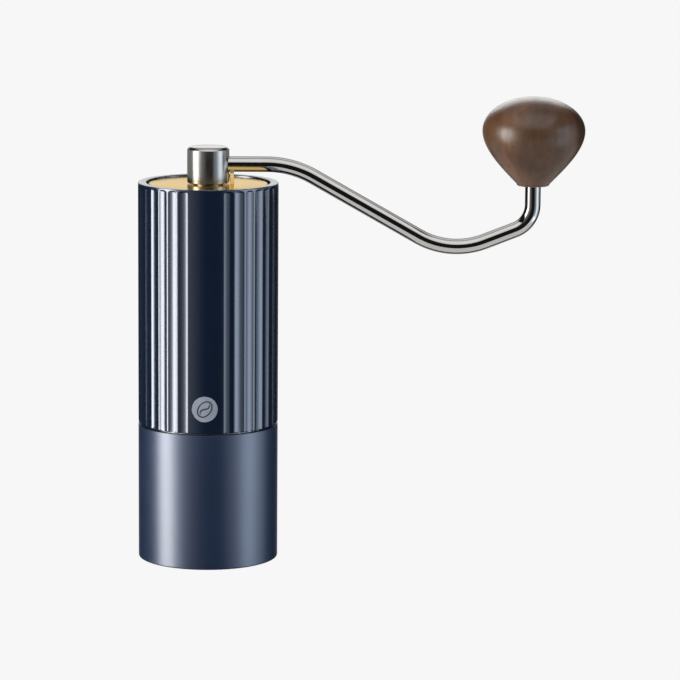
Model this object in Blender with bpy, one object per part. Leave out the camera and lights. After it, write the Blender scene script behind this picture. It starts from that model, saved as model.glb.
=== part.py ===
"""A hand crank coffee grinder with a fluted body, a conical burr set and a bent steel crank.

The underside of its base pad stands on z = 0 and the body's axis is the Z axis. The crank points along +X
and the plain panel of the fluted shell faces -Y to within about a degree. Sizes below are in millimetres,
and every shape is scaled to metres as it is made.
"""

import math

import bmesh
import bpy
from mathutils import Matrix, Vector

MM = 0.001

# Driving dimensions of the body, in millimetres.
BODY_RADIUS = 26.0
EDGE = 0.25
CUP_BOTTOM, CUP_TOP = 0.3, 50.8
CUP_BORE = 24.0
CUP_FLOOR, CUP_FILLET = 3.3, 2.0
PAD_RADIUS, PAD_TOP = 21.1, 1.5
SHELL_BOTTOM, SHELL_TOP = 51.4, 141.4
SHELL_BORE = 22.95

# The barrel inside the shell: hopper above, burr seat and spigot below.
BARREL_BOTTOM, BARREL_TOP = 45.0, 136.4
BARREL_RADIUS = 22.6
HOPPER_RADIUS, HOPPER_TOP = 20.8, 119.7
BRIDGE_BORE = 21.4
BURR_LEDGE_RADIUS = 17.6
BURR_LEDGE = (66.4, 68.2)
SPIGOT_RADIUS, SPIGOT_TOP = 23.6, 51.1
O_RING_GROOVE = (47.0, 49.0)
O_RING_GROOVE_RADIUS = 22.0
SNAP_GROOVE_DEPTH = 0.6
SNAP_RING_GAP = math.radians(24)
TOP_SNAP_RING, LOWER_SNAP_RING = (126.4, 127.4), (75.2, 76.2)

# Flutes: shallow round-bottomed grooves all round the shell, except on the panel. The steps are shares
# of the pitch from one flute to the next, at the edges of a flute and beside its middle.
FLUTES = 35
PANEL_ANGLE = math.radians(-1.06)
PANEL_HALF_ANGLE = math.radians(14.06)
FLUTE_DEPTH = 0.32
FLUTE_SHARE = 0.86
FLUTE_TOP, FLUTE_RUN_OUT = 140.9, 0.9
FLUTE_STEPS = (0.07, 0.36, 0.64, 0.93)
PANEL_STEPS = 4

# Shaft and its bearings.
SHAFT_RADIUS = 3.0
SHAFT_BOTTOM, SHAFT_TOP = 35.2, 142.7
HEX_ACROSS_FLATS = 5.2
HEX_BOTTOM = 130.0
FLATS_HALF_WIDTH = 2.4
FLATS_BOTTOM, FLATS_TOP = 43.4, 69.0
THREAD_RADIUS = 2.35
SHAFT_GROOVE_DEPTH = 0.5
SHAFT_GROOVES = ((120.0, 120.9), (126.1, 127.0))
CLIP_GAP = math.radians(60)
BALL_RADIUS, BALL_CIRCLE, BALLS = 1.15, 5.25, 7
RACE_WIDTH = 4.8
RACE_SHOULDER = 0.75
RACE_INNER, RACE_OUTER = 3.1, 7.45
BRIDGE_HEIGHT, BRIDGE_LIP, BRIDGE_EYE = 6.0, 1.0, 5.6
UPPER_BRIDGE, LOWER_BRIDGE = 120.0, 68.5
SPOKES, SPOKE_WIDTH = 3, 5.0
WINDOW_INNER, WINDOW_OUTER = 10.4, 17.8

# Burrs and the dial under them.
BURR_BOTTOM, BURR_TOP = 46.6, 67.5
RING_BURR_BOTTOM, RING_BURR_TOP = 45.3, 66.1
RING_BURR_RADIUS = 19.0
THROAT = 57.0
CONE_THROAT_RADIUS, RING_THROAT_RADIUS = 12.2, 12.75
FINE_TEETH = 24
SPRING_BORE, SPRING_SEAT = 4.9, 60.0
SPRING_RADIUS, SPRING_WIRE, SPRING_TURNS = 4.0, 0.45, 4.5
RETAINER_BOTTOM, RETAINER_TOP = 43.6, 44.7
RETAINER_BORE, RETAINER_RADIUS = 16.7, 22.2
SCREW_CIRCLE = 20.7
PLATE_BOTTOM, PLATE_TOP, PLATE_RADIUS = 42.3, 46.3, 9.8
DETENT_CIRCLE, DETENT_BALL = 6.8, 0.82
DIAL_BOTTOM, DIAL_TOP, DIAL_RADIUS = 36.0, 42.0, 12.0
DIAL_LOBES, DIAL_DIP = 12, 0.7

# Crank: the rod's corners are where its straight runs would meet, as (x, z).
ROD_RADIUS = 2.9
ROD_HEIGHT = 148.06
CRANK_RADIUS = 120.2
ROD_START, ROD_END = -4.2, 163.5
ROD_CORNERS = ((30.8, ROD_HEIGHT, 35.0), (89.8, 114.6, 29.0), (CRANK_RADIUS, 126.5, 10.0))
ROD_GROOVE, ROD_NECK = (160.9, 161.9), 2.4
HUB_RADIUS = 7.8
HUB_BOTTOM, HUB_TOP = 141.3, 154.5
HUB_CHAMFER = 0.9
STEM_RADIUS, STEM_BOTTOM = 5.5, 133.6
STEM_GROOVE = (136.9, 137.9)
SOCKET_TOP = 143.0
LID_BOTTOM, LID_TOP = 139.1, 140.9
LID_RADIUS, LID_BORE = 21.95, 5.65
LID_RING_RADIUS, LID_RING_BORE = 22.6, 17.0
LID_RING_BOTTOM, LID_RING_TOP = 137.3, 140.5
LUG_INNER, LUG_OUTER, LUG_HALF_WIDTH = 8.15, 9.5, 1.7
LID_SCREW_CIRCLE = 19.0

# Clearances between pieces.
RUNNING = 0.12
SLIDING = 0.15
TOUCHING = 0.1

# Knob: an ellipse above its widest height and a flank curving in to a flat base.
KNOB_RADIUS = 19.0
KNOB_BASE, KNOB_WIDEST, KNOB_TOP = 140.5, 160.9, 173.5
KNOB_FLANK = ((KNOB_RADIUS, KNOB_WIDEST), (KNOB_RADIUS, 154.2), (12.0, 147.2), (6.2, 141.3))
KNOB_FACE_RADIUS = 5.6
KNOB_BORE, KNOB_BORE_TOP = 4.6, 165.5
LOWER_BUSH, UPPER_BUSH = (140.9, 147.0), (154.0, 160.5)


def clear_scene():
    for obj in list(bpy.data.objects):
        bpy.data.objects.remove(obj, do_unlink=True)


def make_material(name, colour, roughness, metallic):
    material = bpy.data.materials.new(name)
    material.use_nodes = True
    shader = material.node_tree.nodes["Principled BSDF"]
    shader.inputs["Base Color"].default_value = (*colour, 1.0)
    shader.inputs["Roughness"].default_value = roughness
    shader.inputs["Metallic"].default_value = metallic
    return material


def make_materials():
    looks = {
        "blue_anodised": ((0.035, 0.055, 0.11), 0.32, 1.0),
        "gold_anodised": ((0.86, 0.62, 0.26), 0.22, 1.0),
        "polished_steel": ((0.66, 0.65, 0.63), 0.12, 1.0),
        "spring_steel": ((0.42, 0.42, 0.43), 0.3, 1.0),
        "burr_steel": ((0.55, 0.55, 0.56), 0.38, 1.0),
        "bearing_steel": ((0.6, 0.6, 0.61), 0.2, 1.0),
        "satin_aluminium": ((0.75, 0.76, 0.78), 0.4, 1.0),
        "black_plastic": ((0.02, 0.02, 0.022), 0.5, 0.0),
        "black_rubber": ((0.015, 0.015, 0.015), 0.8, 0.0),
        "walnut": ((0.12, 0.065, 0.04), 0.42, 0.0),
        "bronze": ((0.62, 0.42, 0.2), 0.35, 1.0),
    }
    return {name: make_material(name, *look) for name, look in looks.items()}


def make_bodies():
    """One empty for each moving body, on its joint's axis and parented along the chain of joints."""
    bodies = {}
    for name, parent, x in (
        ("cup", None, 0.0),
        ("grinder", "cup", 0.0),
        ("spindle", "grinder", 0.0),
        ("upper_balls", "grinder", 0.0),
        ("lower_balls", "grinder", 0.0),
        ("inner_burr", "spindle", 0.0),
        ("dial", "inner_burr", 0.0),
        ("crank", "spindle", 0.0),
        ("knob", "crank", CRANK_RADIUS),
    ):
        empty = bpy.data.objects.new(f"{name}_body", None)
        empty.empty_display_size = 10 * MM
        empty.location.x = x * MM
        empty.parent = bodies.get(parent)
        bpy.context.scene.collection.objects.link(empty)
        bodies[name] = empty
    return bodies


def place(name, data, material, body, turn=0.0):
    obj = bpy.data.objects.new(name, data)
    bpy.context.scene.collection.objects.link(obj)
    obj.parent = body
    obj.rotation_euler.z = turn
    if material is not None and not data.materials:
        data.materials.append(material)
    return obj


# ------------------------------------------------------------ shape helpers


def mesh_from(name, bm):
    """Closes the bmesh into a smooth-shaded mesh whose faces point outwards."""
    bmesh.ops.remove_doubles(bm, verts=bm.verts, dist=1e-7)
    bmesh.ops.recalc_face_normals(bm, faces=bm.faces)
    mesh = bpy.data.meshes.new(name)
    bm.to_mesh(mesh)
    bm.free()
    mesh.shade_smooth()
    mesh.set_sharp_from_angle(angle=math.radians(32))
    return mesh


def turned_mesh(name, outline, sides):
    """Spins an outline of (radius, height) points about Z. It stays open where both ends are on the axis."""
    bm = bmesh.new()
    verts = [bm.verts.new((r * MM, 0.0, z * MM)) for r, z in outline]
    edges = [bm.edges.new(pair) for pair in zip(verts, verts[1:])]
    if outline[0][0] > 0.0 or outline[-1][0] > 0.0:
        edges.append(bm.edges.new((verts[-1], verts[0])))
    geometry = verts + edges
    turn = {"cent": (0, 0, 0), "axis": (0, 0, 1), "angle": math.tau, "steps": sides}
    bmesh.ops.spin(bm, geom=geometry, use_merge=True, **turn)
    return mesh_from(name, bm)


def ring_mesh(name, rings, closed):
    """Skins rings of equally many points, and joins the last ring to the first or else caps both ends."""
    bm = bmesh.new()
    rows = [[bm.verts.new(Vector(point) * MM) for point in ring] for ring in rings]
    pairs = list(zip(rows, rows[1:]))
    if closed:
        pairs.append((rows[-1], rows[0]))
    else:
        bm.faces.new(rows[0])
        bm.faces.new(rows[-1])
    for low, high in pairs:
        for i in range(len(low)):
            j = (i + 1) % len(low)
            bm.faces.new((low[i], low[j], high[j], high[i]))
    return mesh_from(name, bm)


def around(count, first=0.0):
    """Angles at even steps round a full turn."""
    return [first + math.tau * i / count for i in range(count)]


def quarter(steps):
    """Angles at even steps over a quarter turn, both ends included."""
    return [math.pi / 2 * i / steps for i in range(steps + 1)]


def round_ring(radius, height, sides):
    return [(radius * math.cos(a), radius * math.sin(a), height) for a in around(sides)]


def flats_ring(radius, half_width, height, sides=24):
    """A circle cut by two flats, as on the shaft where it drives the burr."""
    ring = round_ring(radius, height, sides)
    return [(x, max(-half_width, min(half_width, y)), z) for x, y, z in ring]


def hex_ring(across_flats, height, sides=24):
    """A hexagon with corners on +X and -X, as a ring with as many points as the round ones."""
    ring = []
    for x, y, z in round_ring(1.0, height, sides):
        angle = math.atan2(y, x) % (math.pi / 3) - math.pi / 6
        radius = across_flats / 2 / math.cos(angle)
        ring.append((radius * x, radius * y, z))
    return ring


def tube_curve(name, points, radius, bevel_resolution, radii=None):
    """A curve with a round section along points in millimetres, with filled ends."""
    curve = bpy.data.curves.new(name, "CURVE")
    curve.dimensions = "3D"
    curve.bevel_depth = radius * MM
    curve.bevel_resolution = bevel_resolution
    curve.use_fill_caps = True
    spline = curve.splines.new("POLY")
    spline.points.add(len(points) - 1)
    for i, point in enumerate(points):
        spline.points[i].co = (*(Vector(point) * MM), 1.0)
        spline.points[i].radius = radii[i] if radii else 1.0
    return curve


def curve_to_mesh(curve):
    """The mesh of a tube curve, because a Boolean takes no curve."""
    guide = bpy.data.objects.new(f"{curve.name}_guide", curve)
    mesh = bpy.data.meshes.new_from_object(guide)
    bpy.data.objects.remove(guide)
    bm = bmesh.new()
    bm.from_mesh(mesh)
    return mesh_from(curve.name, bm)


def coil_points(radius, low, high, turns, per_turn):
    count = int(turns * per_turn)
    points = []
    for i in range(count + 1):
        angle = math.tau * i / per_turn
        height = low + (high - low) * i / count
        points.append((radius * math.cos(angle), radius * math.sin(angle), height))
    return points


def rod_mesh(name, radius, low, high, sides=16):
    return turned_mesh(name, [(0.0, low), (radius, low), (radius, high), (0.0, high)], sides)


def snap_ring_mesh(name, inner, outer, low, high, gap, steps):
    """A flat ring with a gap, symmetric about +X where it opens."""
    section = ((inner, low), (outer, low), (outer, high), (inner, high))
    turns = [gap / 2 + (math.tau - gap) * i / steps for i in range(steps + 1)]
    rings = [[(r * math.cos(a), r * math.sin(a), z) for r, z in section] for a in turns]
    return ring_mesh(name, rings, closed=False)


def block_mesh(name, low, high):
    """A box between two corners."""
    bm = bmesh.new()
    bmesh.ops.create_cube(bm, size=1.0)
    low, high = Vector(low), Vector(high)
    size = high - low
    bmesh.ops.scale(bm, verts=bm.verts, vec=size * MM)
    bmesh.ops.translate(bm, verts=bm.verts, vec=(low + size / 2) * MM)
    return mesh_from(name, bm)


def moved_out(mesh, distance):
    """The mesh, moved along X from the axis to the circle that it sits on."""
    mesh.transform(Matrix.Translation((distance * MM, 0.0, 0.0)))
    return mesh


def cutter(name, mesh, body, turn=0.0):
    obj = place(name, mesh, None, body, turn)
    obj.hide_render = True
    obj.display_type = "WIRE"
    return obj


def boolean(target, other, operation):
    modifier = target.modifiers.new(f"{operation.lower()}_{other.name}", "BOOLEAN")
    modifier.operation = operation
    modifier.solver = "EXACT"
    modifier.object = other


# ---------------------------------------------------------------- catch cup


def make_cup(materials, body):
    """The cup that catches the grounds, and the pad let into its underside."""
    recess_radius, recess_top, foot = PAD_RADIUS + 0.2, PAD_TOP + 0.2, 0.5
    fillet = [
        (CUP_BORE - CUP_FILLET * (1 - math.cos(a)), CUP_FLOOR + CUP_FILLET * (1 - math.sin(a)))
        for a in quarter(2)
    ]
    outline = [
        (0.0, recess_top),
        (recess_radius, recess_top),
        (recess_radius, CUP_BOTTOM),
        (BODY_RADIUS - foot, CUP_BOTTOM),
        (BODY_RADIUS, CUP_BOTTOM + foot),
        (BODY_RADIUS, CUP_TOP - EDGE),
        (BODY_RADIUS - EDGE, CUP_TOP),
        (CUP_BORE + EDGE, CUP_TOP),
        (CUP_BORE, CUP_TOP - EDGE),
        *fillet,
        (0.0, CUP_FLOOR),
    ]
    place("catch_cup", turned_mesh("catch_cup", outline, 48), materials["blue_anodised"], body)
    edge = 0.3
    pad = [
        (0.0, 0.0),
        (PAD_RADIUS - edge, 0.0),
        (PAD_RADIUS, edge),
        (PAD_RADIUS, PAD_TOP),
        (0.0, PAD_TOP),
    ]
    place("base_pad", turned_mesh("base_pad", pad, 32), materials["black_rubber"], body)


# ------------------------------------------------------------ grinder body


def flute_pitch():
    return (math.tau - 2 * PANEL_HALF_ANGLE) / FLUTES


def shell_angles():
    """Angles round the shell, from the plain panel's middle: over each flute, then over the panel."""
    pitch = flute_pitch()
    panel_step = 2 * PANEL_HALF_ANGLE / PANEL_STEPS
    fluted = [PANEL_HALF_ANGLE + pitch * (i + step) for i in range(FLUTES) for step in FLUTE_STEPS]
    return fluted + [-PANEL_HALF_ANGLE + panel_step * i for i in range(PANEL_STEPS)]


def flute_depth(angle, height):
    """How deep a round-nosed cutter has cut at this angle from the panel's middle and at this height."""
    pitch = flute_pitch()
    beyond = (angle - PANEL_HALF_ANGLE) % math.tau
    if beyond >= FLUTES * pitch - 1e-9:
        return 0.0
    half_width = FLUTE_SHARE * BODY_RADIUS * math.sin(pitch / 2)
    tool = (half_width**2 + FLUTE_DEPTH**2) / (2 * FLUTE_DEPTH)
    across = BODY_RADIUS * math.sin(beyond % pitch - pitch / 2)
    along = max(0.0, height - (FLUTE_TOP - FLUTE_RUN_OUT)) * half_width / FLUTE_RUN_OUT
    inside = tool**2 - across**2 - along**2
    return max(0.0, math.sqrt(max(inside, 0.0)) - (tool - FLUTE_DEPTH))


def shell_ring(height, inset=0.0):
    ring = []
    for angle in shell_angles():
        radius = BODY_RADIUS - inset - flute_depth(angle, height)
        turn = angle + PANEL_ANGLE
        ring.append((radius * math.sin(turn), -radius * math.cos(turn), height))
    return ring


def bore_ring(height):
    turns = [angle + PANEL_ANGLE for angle in shell_angles()]
    return [(SHELL_BORE * math.sin(a), -SHELL_BORE * math.cos(a), height) for a in turns]


def make_shell(materials, body):
    """The fluted outer tube. Its flutes run out in round tops just under the rim."""
    run_out = [FLUTE_TOP - FLUTE_RUN_OUT * share for share in (1.0, 0.4, 0.0)]
    rings = [shell_ring(height) for height in (SHELL_BOTTOM, *run_out, SHELL_TOP - EDGE)]
    rings.append(shell_ring(SHELL_TOP, inset=EDGE))
    rings += [bore_ring(height) for height in (SHELL_TOP, SHELL_BOTTOM)]
    mesh = ring_mesh("fluted_shell", rings, closed=True)
    place("fluted_shell", mesh, materials["blue_anodised"], body)


def snap_groove(wall, ring):
    """The outline of a groove in a bore, just wider than the snap ring that it holds, from the top down."""
    low, high = ring[0] - TOUCHING, ring[1] + TOUCHING
    depth = wall + SNAP_GROOVE_DEPTH
    return [(wall, high), (depth, high), (depth, low), (wall, low)]


def make_barrel(materials, body):
    """The hopper tube inside the shell, with the burr seat and the spigot for the cup at its lower end."""
    burr_bore, chamfer = RING_BURR_RADIUS + 0.3, 0.3
    outline = [
        (SPIGOT_RADIUS - chamfer, BARREL_BOTTOM),
        (SPIGOT_RADIUS, BARREL_BOTTOM + chamfer),
        (SPIGOT_RADIUS, O_RING_GROOVE[0]),
        (O_RING_GROOVE_RADIUS, O_RING_GROOVE[0]),
        (O_RING_GROOVE_RADIUS, O_RING_GROOVE[1]),
        (SPIGOT_RADIUS, O_RING_GROOVE[1]),
        (SPIGOT_RADIUS, SPIGOT_TOP),
        (BARREL_RADIUS, SPIGOT_TOP),
        (BARREL_RADIUS, BARREL_TOP),
        (BRIDGE_BORE, BARREL_TOP),
        *snap_groove(BRIDGE_BORE, TOP_SNAP_RING),
        (BRIDGE_BORE, HOPPER_TOP),
        (HOPPER_RADIUS, HOPPER_TOP),
        *snap_groove(HOPPER_RADIUS, LOWER_SNAP_RING),
        (HOPPER_RADIUS, BURR_LEDGE[1]),
        (BURR_LEDGE_RADIUS, BURR_LEDGE[1]),
        (BURR_LEDGE_RADIUS, BURR_LEDGE[0]),
        (burr_bore, BURR_LEDGE[0]),
        (burr_bore, BARREL_BOTTOM),
    ]
    mesh = turned_mesh("inner_barrel", outline, 30)
    barrel = place("inner_barrel", mesh, materials["satin_aluminium"], body)
    hole_radius, hole_top = 0.9, 50.2
    hole = rod_mesh("barrel_screw_hole", hole_radius, BARREL_BOTTOM - 1.0, hole_top, 8)
    moved_out(hole, SCREW_CIRCLE)
    for i, angle in enumerate(around(3)):
        boolean(barrel, cutter(f"barrel_screw_hole_{i + 1}", hole, body, angle), "DIFFERENCE")


def make_o_ring(materials, body):
    cord, circle = 0.75, SPIGOT_RADIUS - 0.6
    middle = sum(O_RING_GROOVE) / 2
    section = [(circle + cord * math.cos(a), middle + cord * math.sin(a)) for a in around(6)]
    mesh = turned_mesh("spigot_o_ring", section, 40)
    place("spigot_o_ring", mesh, materials["black_rubber"], body)


def window_mesh(name, low, high, steps=5):
    """A prism through one gap between two spokes: a sector of a ring with sides parallel to the spokes."""
    ring = []
    for radius, direction in ((WINDOW_OUTER, 1), (WINDOW_INNER, -1)):
        edge = math.asin(SPOKE_WIDTH / 2 / radius)
        sweep = math.tau / SPOKES - 2 * edge
        turns = [edge + sweep * i / steps for i in range(steps + 1)][::direction]
        ring += [(radius * math.cos(a), radius * math.sin(a)) for a in turns]
    return ring_mesh(name, [[(x, y, z) for x, y in ring] for z in (low, high)], closed=False)


def make_bridge(name, radius, bottom, first_spoke, materials, body):
    """A spoked disc across the barrel, with a pocket in its middle for a ball bearing."""
    top, lip = bottom + BRIDGE_HEIGHT, bottom + BRIDGE_LIP
    pocket = RACE_OUTER + RUNNING
    outline = [
        (BRIDGE_EYE, bottom),
        (radius, bottom),
        (radius, top),
        (pocket, top),
        (pocket, lip),
        (BRIDGE_EYE, lip),
    ]
    bridge = place(name, turned_mesh(name, outline, 30), materials["satin_aluminium"], body)
    window = window_mesh(f"{name}_window", bottom - 1.0, top + 1.0)
    for i, angle in enumerate(around(SPOKES, first_spoke)):
        boolean(bridge, cutter(f"{name}_window_{i + 1}", window, body, angle), "DIFFERENCE")


def make_snap_ring(name, wall, heights, materials, body):
    """The spring ring that keeps a bridge in its bore: it springs out into a groove in the wall."""
    width, reach = 2.2, SNAP_GROOVE_DEPTH - 0.2
    mesh = snap_ring_mesh(name, wall + reach - width, wall + reach, *heights, SNAP_RING_GAP, 26)
    place(name, mesh, materials["spring_steel"], body, math.pi / 2)


def make_bridges(materials, body):
    top_radius, lower_radius = BRIDGE_BORE - 0.2, HOPPER_RADIUS - 0.3
    upright, slanted = math.radians(90), math.radians(30)
    make_bridge("top_bridge", top_radius, UPPER_BRIDGE, upright, materials, body)
    make_bridge("lower_bridge", lower_radius, LOWER_BRIDGE, slanted, materials, body)
    make_snap_ring("top_snap_ring", BRIDGE_BORE, TOP_SNAP_RING, materials, body)
    make_snap_ring("lower_snap_ring", HOPPER_RADIUS, LOWER_SNAP_RING, materials, body)


# ----------------------------------------------------------------- bearings


def race_outline(side, low, high):
    """A bearing ring's section, with a round track for the balls: side -1 is the inner ring, +1 the outer."""
    middle, track = (low + high) / 2, BALL_RADIUS + TOUCHING
    widest = math.acos(RACE_SHOULDER / track)
    face = RACE_INNER if side < 0 else RACE_OUTER
    shoulder = BALL_CIRCLE + side * RACE_SHOULDER
    groove = [
        (BALL_CIRCLE + side * track * math.cos(a), middle + track * math.sin(a))
        for a in (-widest, 0.0, widest)
    ]
    return [(face, low), (shoulder, low), *groove, (shoulder, high), (face, high)]


def ball_cage_mesh(name, middle):
    """A ring that swells into a ball at even steps: the balls and the cage that spaces them."""
    across, upright = 0.3, 0.35
    rings = []
    for ball in around(BALLS):
        for share in (-1.0, -0.7, 0.0, 0.7):
            angle = ball + share * BALL_RADIUS / BALL_CIRCLE
            swell = BALL_RADIUS * math.sqrt(1 - share**2)
            out, up = max(across, swell), max(upright, swell)
            section = [(BALL_CIRCLE + out * math.cos(a), up * math.sin(a)) for a in around(6)]
            rings.append([(r * math.cos(angle), r * math.sin(angle), middle + z) for r, z in section])
    return ring_mesh(name, rings, closed=True)


def make_bearing(name, bridge, materials, bodies):
    """A ball bearing on the bridge's lip: outer race in the bridge, inner race on the shaft."""
    low = bridge + BRIDGE_LIP + TOUCHING
    high = low + RACE_WIDTH
    steel, sides = materials["bearing_steel"], 20
    for ring, side, body in (("inner", -1, "spindle"), ("outer", 1, "grinder")):
        mesh = turned_mesh(f"{name}_{ring}_race", race_outline(side, low, high), sides)
        place(f"{name}_{ring}_race", mesh, steel, bodies[body])
    cage = ball_cage_mesh(f"{name}_ball_cage", (low + high) / 2)
    place(f"{name}_ball_cage", cage, steel, bodies[f"{name}_balls"])


# -------------------------------------------------------------------- burrs


def ring_burr_radius(height):
    """The bore of the ring burr: wide where beans enter, narrowest at the throat, then opening downwards."""
    if height > THROAT:
        return RING_THROAT_RADIUS + 4.15 * ((height - THROAT) / (RING_BURR_TOP - THROAT)) ** 1.2
    return RING_THROAT_RADIUS + 3.65 * (THROAT - height) / (THROAT - RING_BURR_BOTTOM)


def cone_burr_radius(height):
    if height > THROAT:
        return CONE_THROAT_RADIUS - 5.4 * ((height - THROAT) / (BURR_TOP - THROAT)) ** 1.1
    return CONE_THROAT_RADIUS + 3.3 * (THROAT - height) / (THROAT - BURR_BOTTOM)


def toothed_ring(radius, height, teeth, depth, twist, sides=48):
    """A ring with saw teeth: a negative depth cuts them into a cone and a positive one into a bore."""
    ring = []
    for i, angle in enumerate(around(sides)):
        reach = radius + depth * ((teeth * i / sides) % 1.0)
        ring.append((reach * math.cos(angle + twist), reach * math.sin(angle + twist), height))
    return ring


def make_ring_burr(materials, body):
    """The burr that stays still: its teeth are helical, coarse above the throat and fine below it."""
    sides, lead = 48, math.radians(1.0)
    rings = []
    for height in (RING_BURR_BOTTOM, 51.0, THROAT, 61.0, RING_BURR_TOP):
        teeth, depth = (FINE_TEETH, 0.55) if height <= THROAT else (FINE_TEETH // 2, 0.9)
        twist = lead * (height - THROAT)
        rings.append(toothed_ring(ring_burr_radius(height), height, teeth, depth, twist))
    for height in (RING_BURR_TOP, RING_BURR_BOTTOM):
        rings.append(round_ring(RING_BURR_RADIUS, height, sides))
    place("ring_burr", ring_mesh("ring_burr", rings, closed=True), materials["burr_steel"], body)


def screw_outline(clearance, below):
    """A small countersunk screw, head down, or with a clearance the hole that it sits in."""
    head, shank, slope = 1.3 + clearance, 0.75 + clearance, 0.55
    low = RETAINER_BOTTOM + 0.05
    outline = [(0.0, low), (head, low), (shank, low + slope), (shank, 49.6), (0.0, 49.6)]
    if below:
        outline[:1] = [(0.0, low - below), (head, low - below)]
    return outline


def make_retainer(materials, body):
    """The ring under the ring burr, and the three screws that hold it to the barrel."""
    outline = [
        (RETAINER_BORE, RETAINER_BOTTOM),
        (RETAINER_RADIUS, RETAINER_BOTTOM),
        (RETAINER_RADIUS, RETAINER_TOP),
        (RETAINER_BORE, RETAINER_TOP),
    ]
    mesh = turned_mesh("burr_retainer", outline, 36)
    retainer = place("burr_retainer", mesh, materials["satin_aluminium"], body)
    sink = moved_out(turned_mesh("countersink", screw_outline(SLIDING, 0.4), 8), SCREW_CIRCLE)
    screw = moved_out(turned_mesh("burr_screw", screw_outline(0.0, 0.0), 8), SCREW_CIRCLE)
    for i, angle in enumerate(around(3)):
        boolean(retainer, cutter(f"countersink_{i + 1}", sink, body, angle), "DIFFERENCE")
        place(f"burr_screw_{i + 1}", screw, materials["spring_steel"], body, angle)


def make_cone_burr(materials, body):
    """The burr that turns: coarse helical teeth at the top break the beans, fine ones below grind them."""
    sides, lead = 48, math.radians(-1.3)
    rings = []
    for height in (BURR_BOTTOM, 52.0, THROAT, 60.5, 64.0, BURR_TOP):
        coarse = 2.2 * min(1.0, 0.4 + (height - THROAT) / 5)
        teeth, depth = (FINE_TEETH, 0.6) if height <= THROAT else (FINE_TEETH // 4, coarse)
        twist = lead * (height - THROAT)
        rings.append(toothed_ring(cone_burr_radius(height), height, teeth, -depth, twist))
    rings += [round_ring(SPRING_BORE, height, sides) for height in (BURR_TOP, SPRING_SEAT)]
    for height in (SPRING_SEAT, BURR_BOTTOM):
        rings.append(flats_ring(SHAFT_RADIUS + SLIDING, FLATS_HALF_WIDTH + RUNNING, height, sides))
    place("cone_burr", ring_mesh("cone_burr", rings, closed=True), materials["burr_steel"], body)


def make_burr_spring(materials, body):
    """The coil that pushes the cone burr down against the dial, and the washer above it."""
    low, high = SPRING_SEAT + 0.6, LOWER_BRIDGE
    coil = coil_points(SPRING_RADIUS, low, high, SPRING_TURNS, 10)
    curve = tube_curve("burr_spring", coil, SPRING_WIRE, 0)
    place("burr_spring", curve, materials["spring_steel"], body)
    inner, outer = SHAFT_RADIUS + 0.2, BRIDGE_EYE - 0.4
    bottom = high + SPRING_WIRE + TOUCHING
    top = bottom + 0.35
    washer = [(inner, bottom), (outer, bottom), (outer, top), (inner, top)]
    mesh = turned_mesh("spring_washer", washer, 24)
    place("spring_washer", mesh, materials["spring_steel"], body)


def make_click_plate(materials, body):
    """The plate under the cone burr that carries two sprung balls, which click against the dial."""
    sides = 32
    rings = [round_ring(PLATE_RADIUS, height, sides) for height in (PLATE_BOTTOM, PLATE_TOP)]
    for height in (PLATE_TOP, PLATE_BOTTOM):
        rings.append(flats_ring(SHAFT_RADIUS + SLIDING, FLATS_HALF_WIDTH + RUNNING, height, sides))
    mesh = ring_mesh("click_plate", rings, closed=True)
    plate = place("click_plate", mesh, materials["black_plastic"], body)
    pocket = rod_mesh("detent_pocket", DETENT_BALL + 0.23, PLATE_BOTTOM - 1.0, PLATE_TOP - 0.3, 8)
    moved_out(pocket, DETENT_CIRCLE)
    for i, angle in enumerate(around(2)):
        boolean(plate, cutter(f"detent_pocket_{i + 1}", pocket, body, angle), "DIFFERENCE")


def make_detents(materials, body):
    """The two balls in the click plate's pockets, each with a small spring above it."""
    ball_height = DIAL_TOP + DETENT_BALL + RUNNING
    bm = bmesh.new()
    bmesh.ops.create_icosphere(bm, subdivisions=2, radius=DETENT_BALL * MM)
    ball = mesh_from("detent_ball", bm)
    ball.transform(Matrix.Translation((DETENT_CIRCLE * MM, 0.0, ball_height * MM)))
    coil = coil_points(0.6, ball_height + 1.1, PLATE_TOP - 0.55, 2.5, 6)
    spring = tube_curve("detent_spring", [(x + DETENT_CIRCLE, y, z) for x, y, z in coil], 0.16, 0)
    for i, angle in enumerate(around(2)):
        place(f"detent_ball_{i + 1}", ball, materials["bearing_steel"], body, angle)
        place(f"detent_spring_{i + 1}", spring, materials["spring_steel"], body, angle)


def make_dial(materials, body):
    """The nut that sets the burr gap, with scallops round its edge for the fingers."""
    sides, chamfer = 4 * DIAL_LOBES, 0.6
    rings = []
    for height, inset in (
        (DIAL_BOTTOM, chamfer),
        (DIAL_BOTTOM + chamfer, 0.0),
        (DIAL_TOP - chamfer, 0.0),
        (DIAL_TOP, chamfer),
    ):
        ring = []
        for angle in around(sides):
            radius = DIAL_RADIUS - inset - DIAL_DIP * math.sin(DIAL_LOBES * angle / 2) ** 2
            ring.append((radius * math.cos(angle), radius * math.sin(angle), height))
        rings.append(ring)
    thread = THREAD_RADIUS + RUNNING
    rings += [round_ring(thread, height, sides) for height in (DIAL_TOP, DIAL_BOTTOM)]
    mesh = ring_mesh("adjusting_dial", rings, closed=True)
    place("adjusting_dial", mesh, materials["satin_aluminium"], body)


# ------------------------------------------------------------------ spindle


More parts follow.
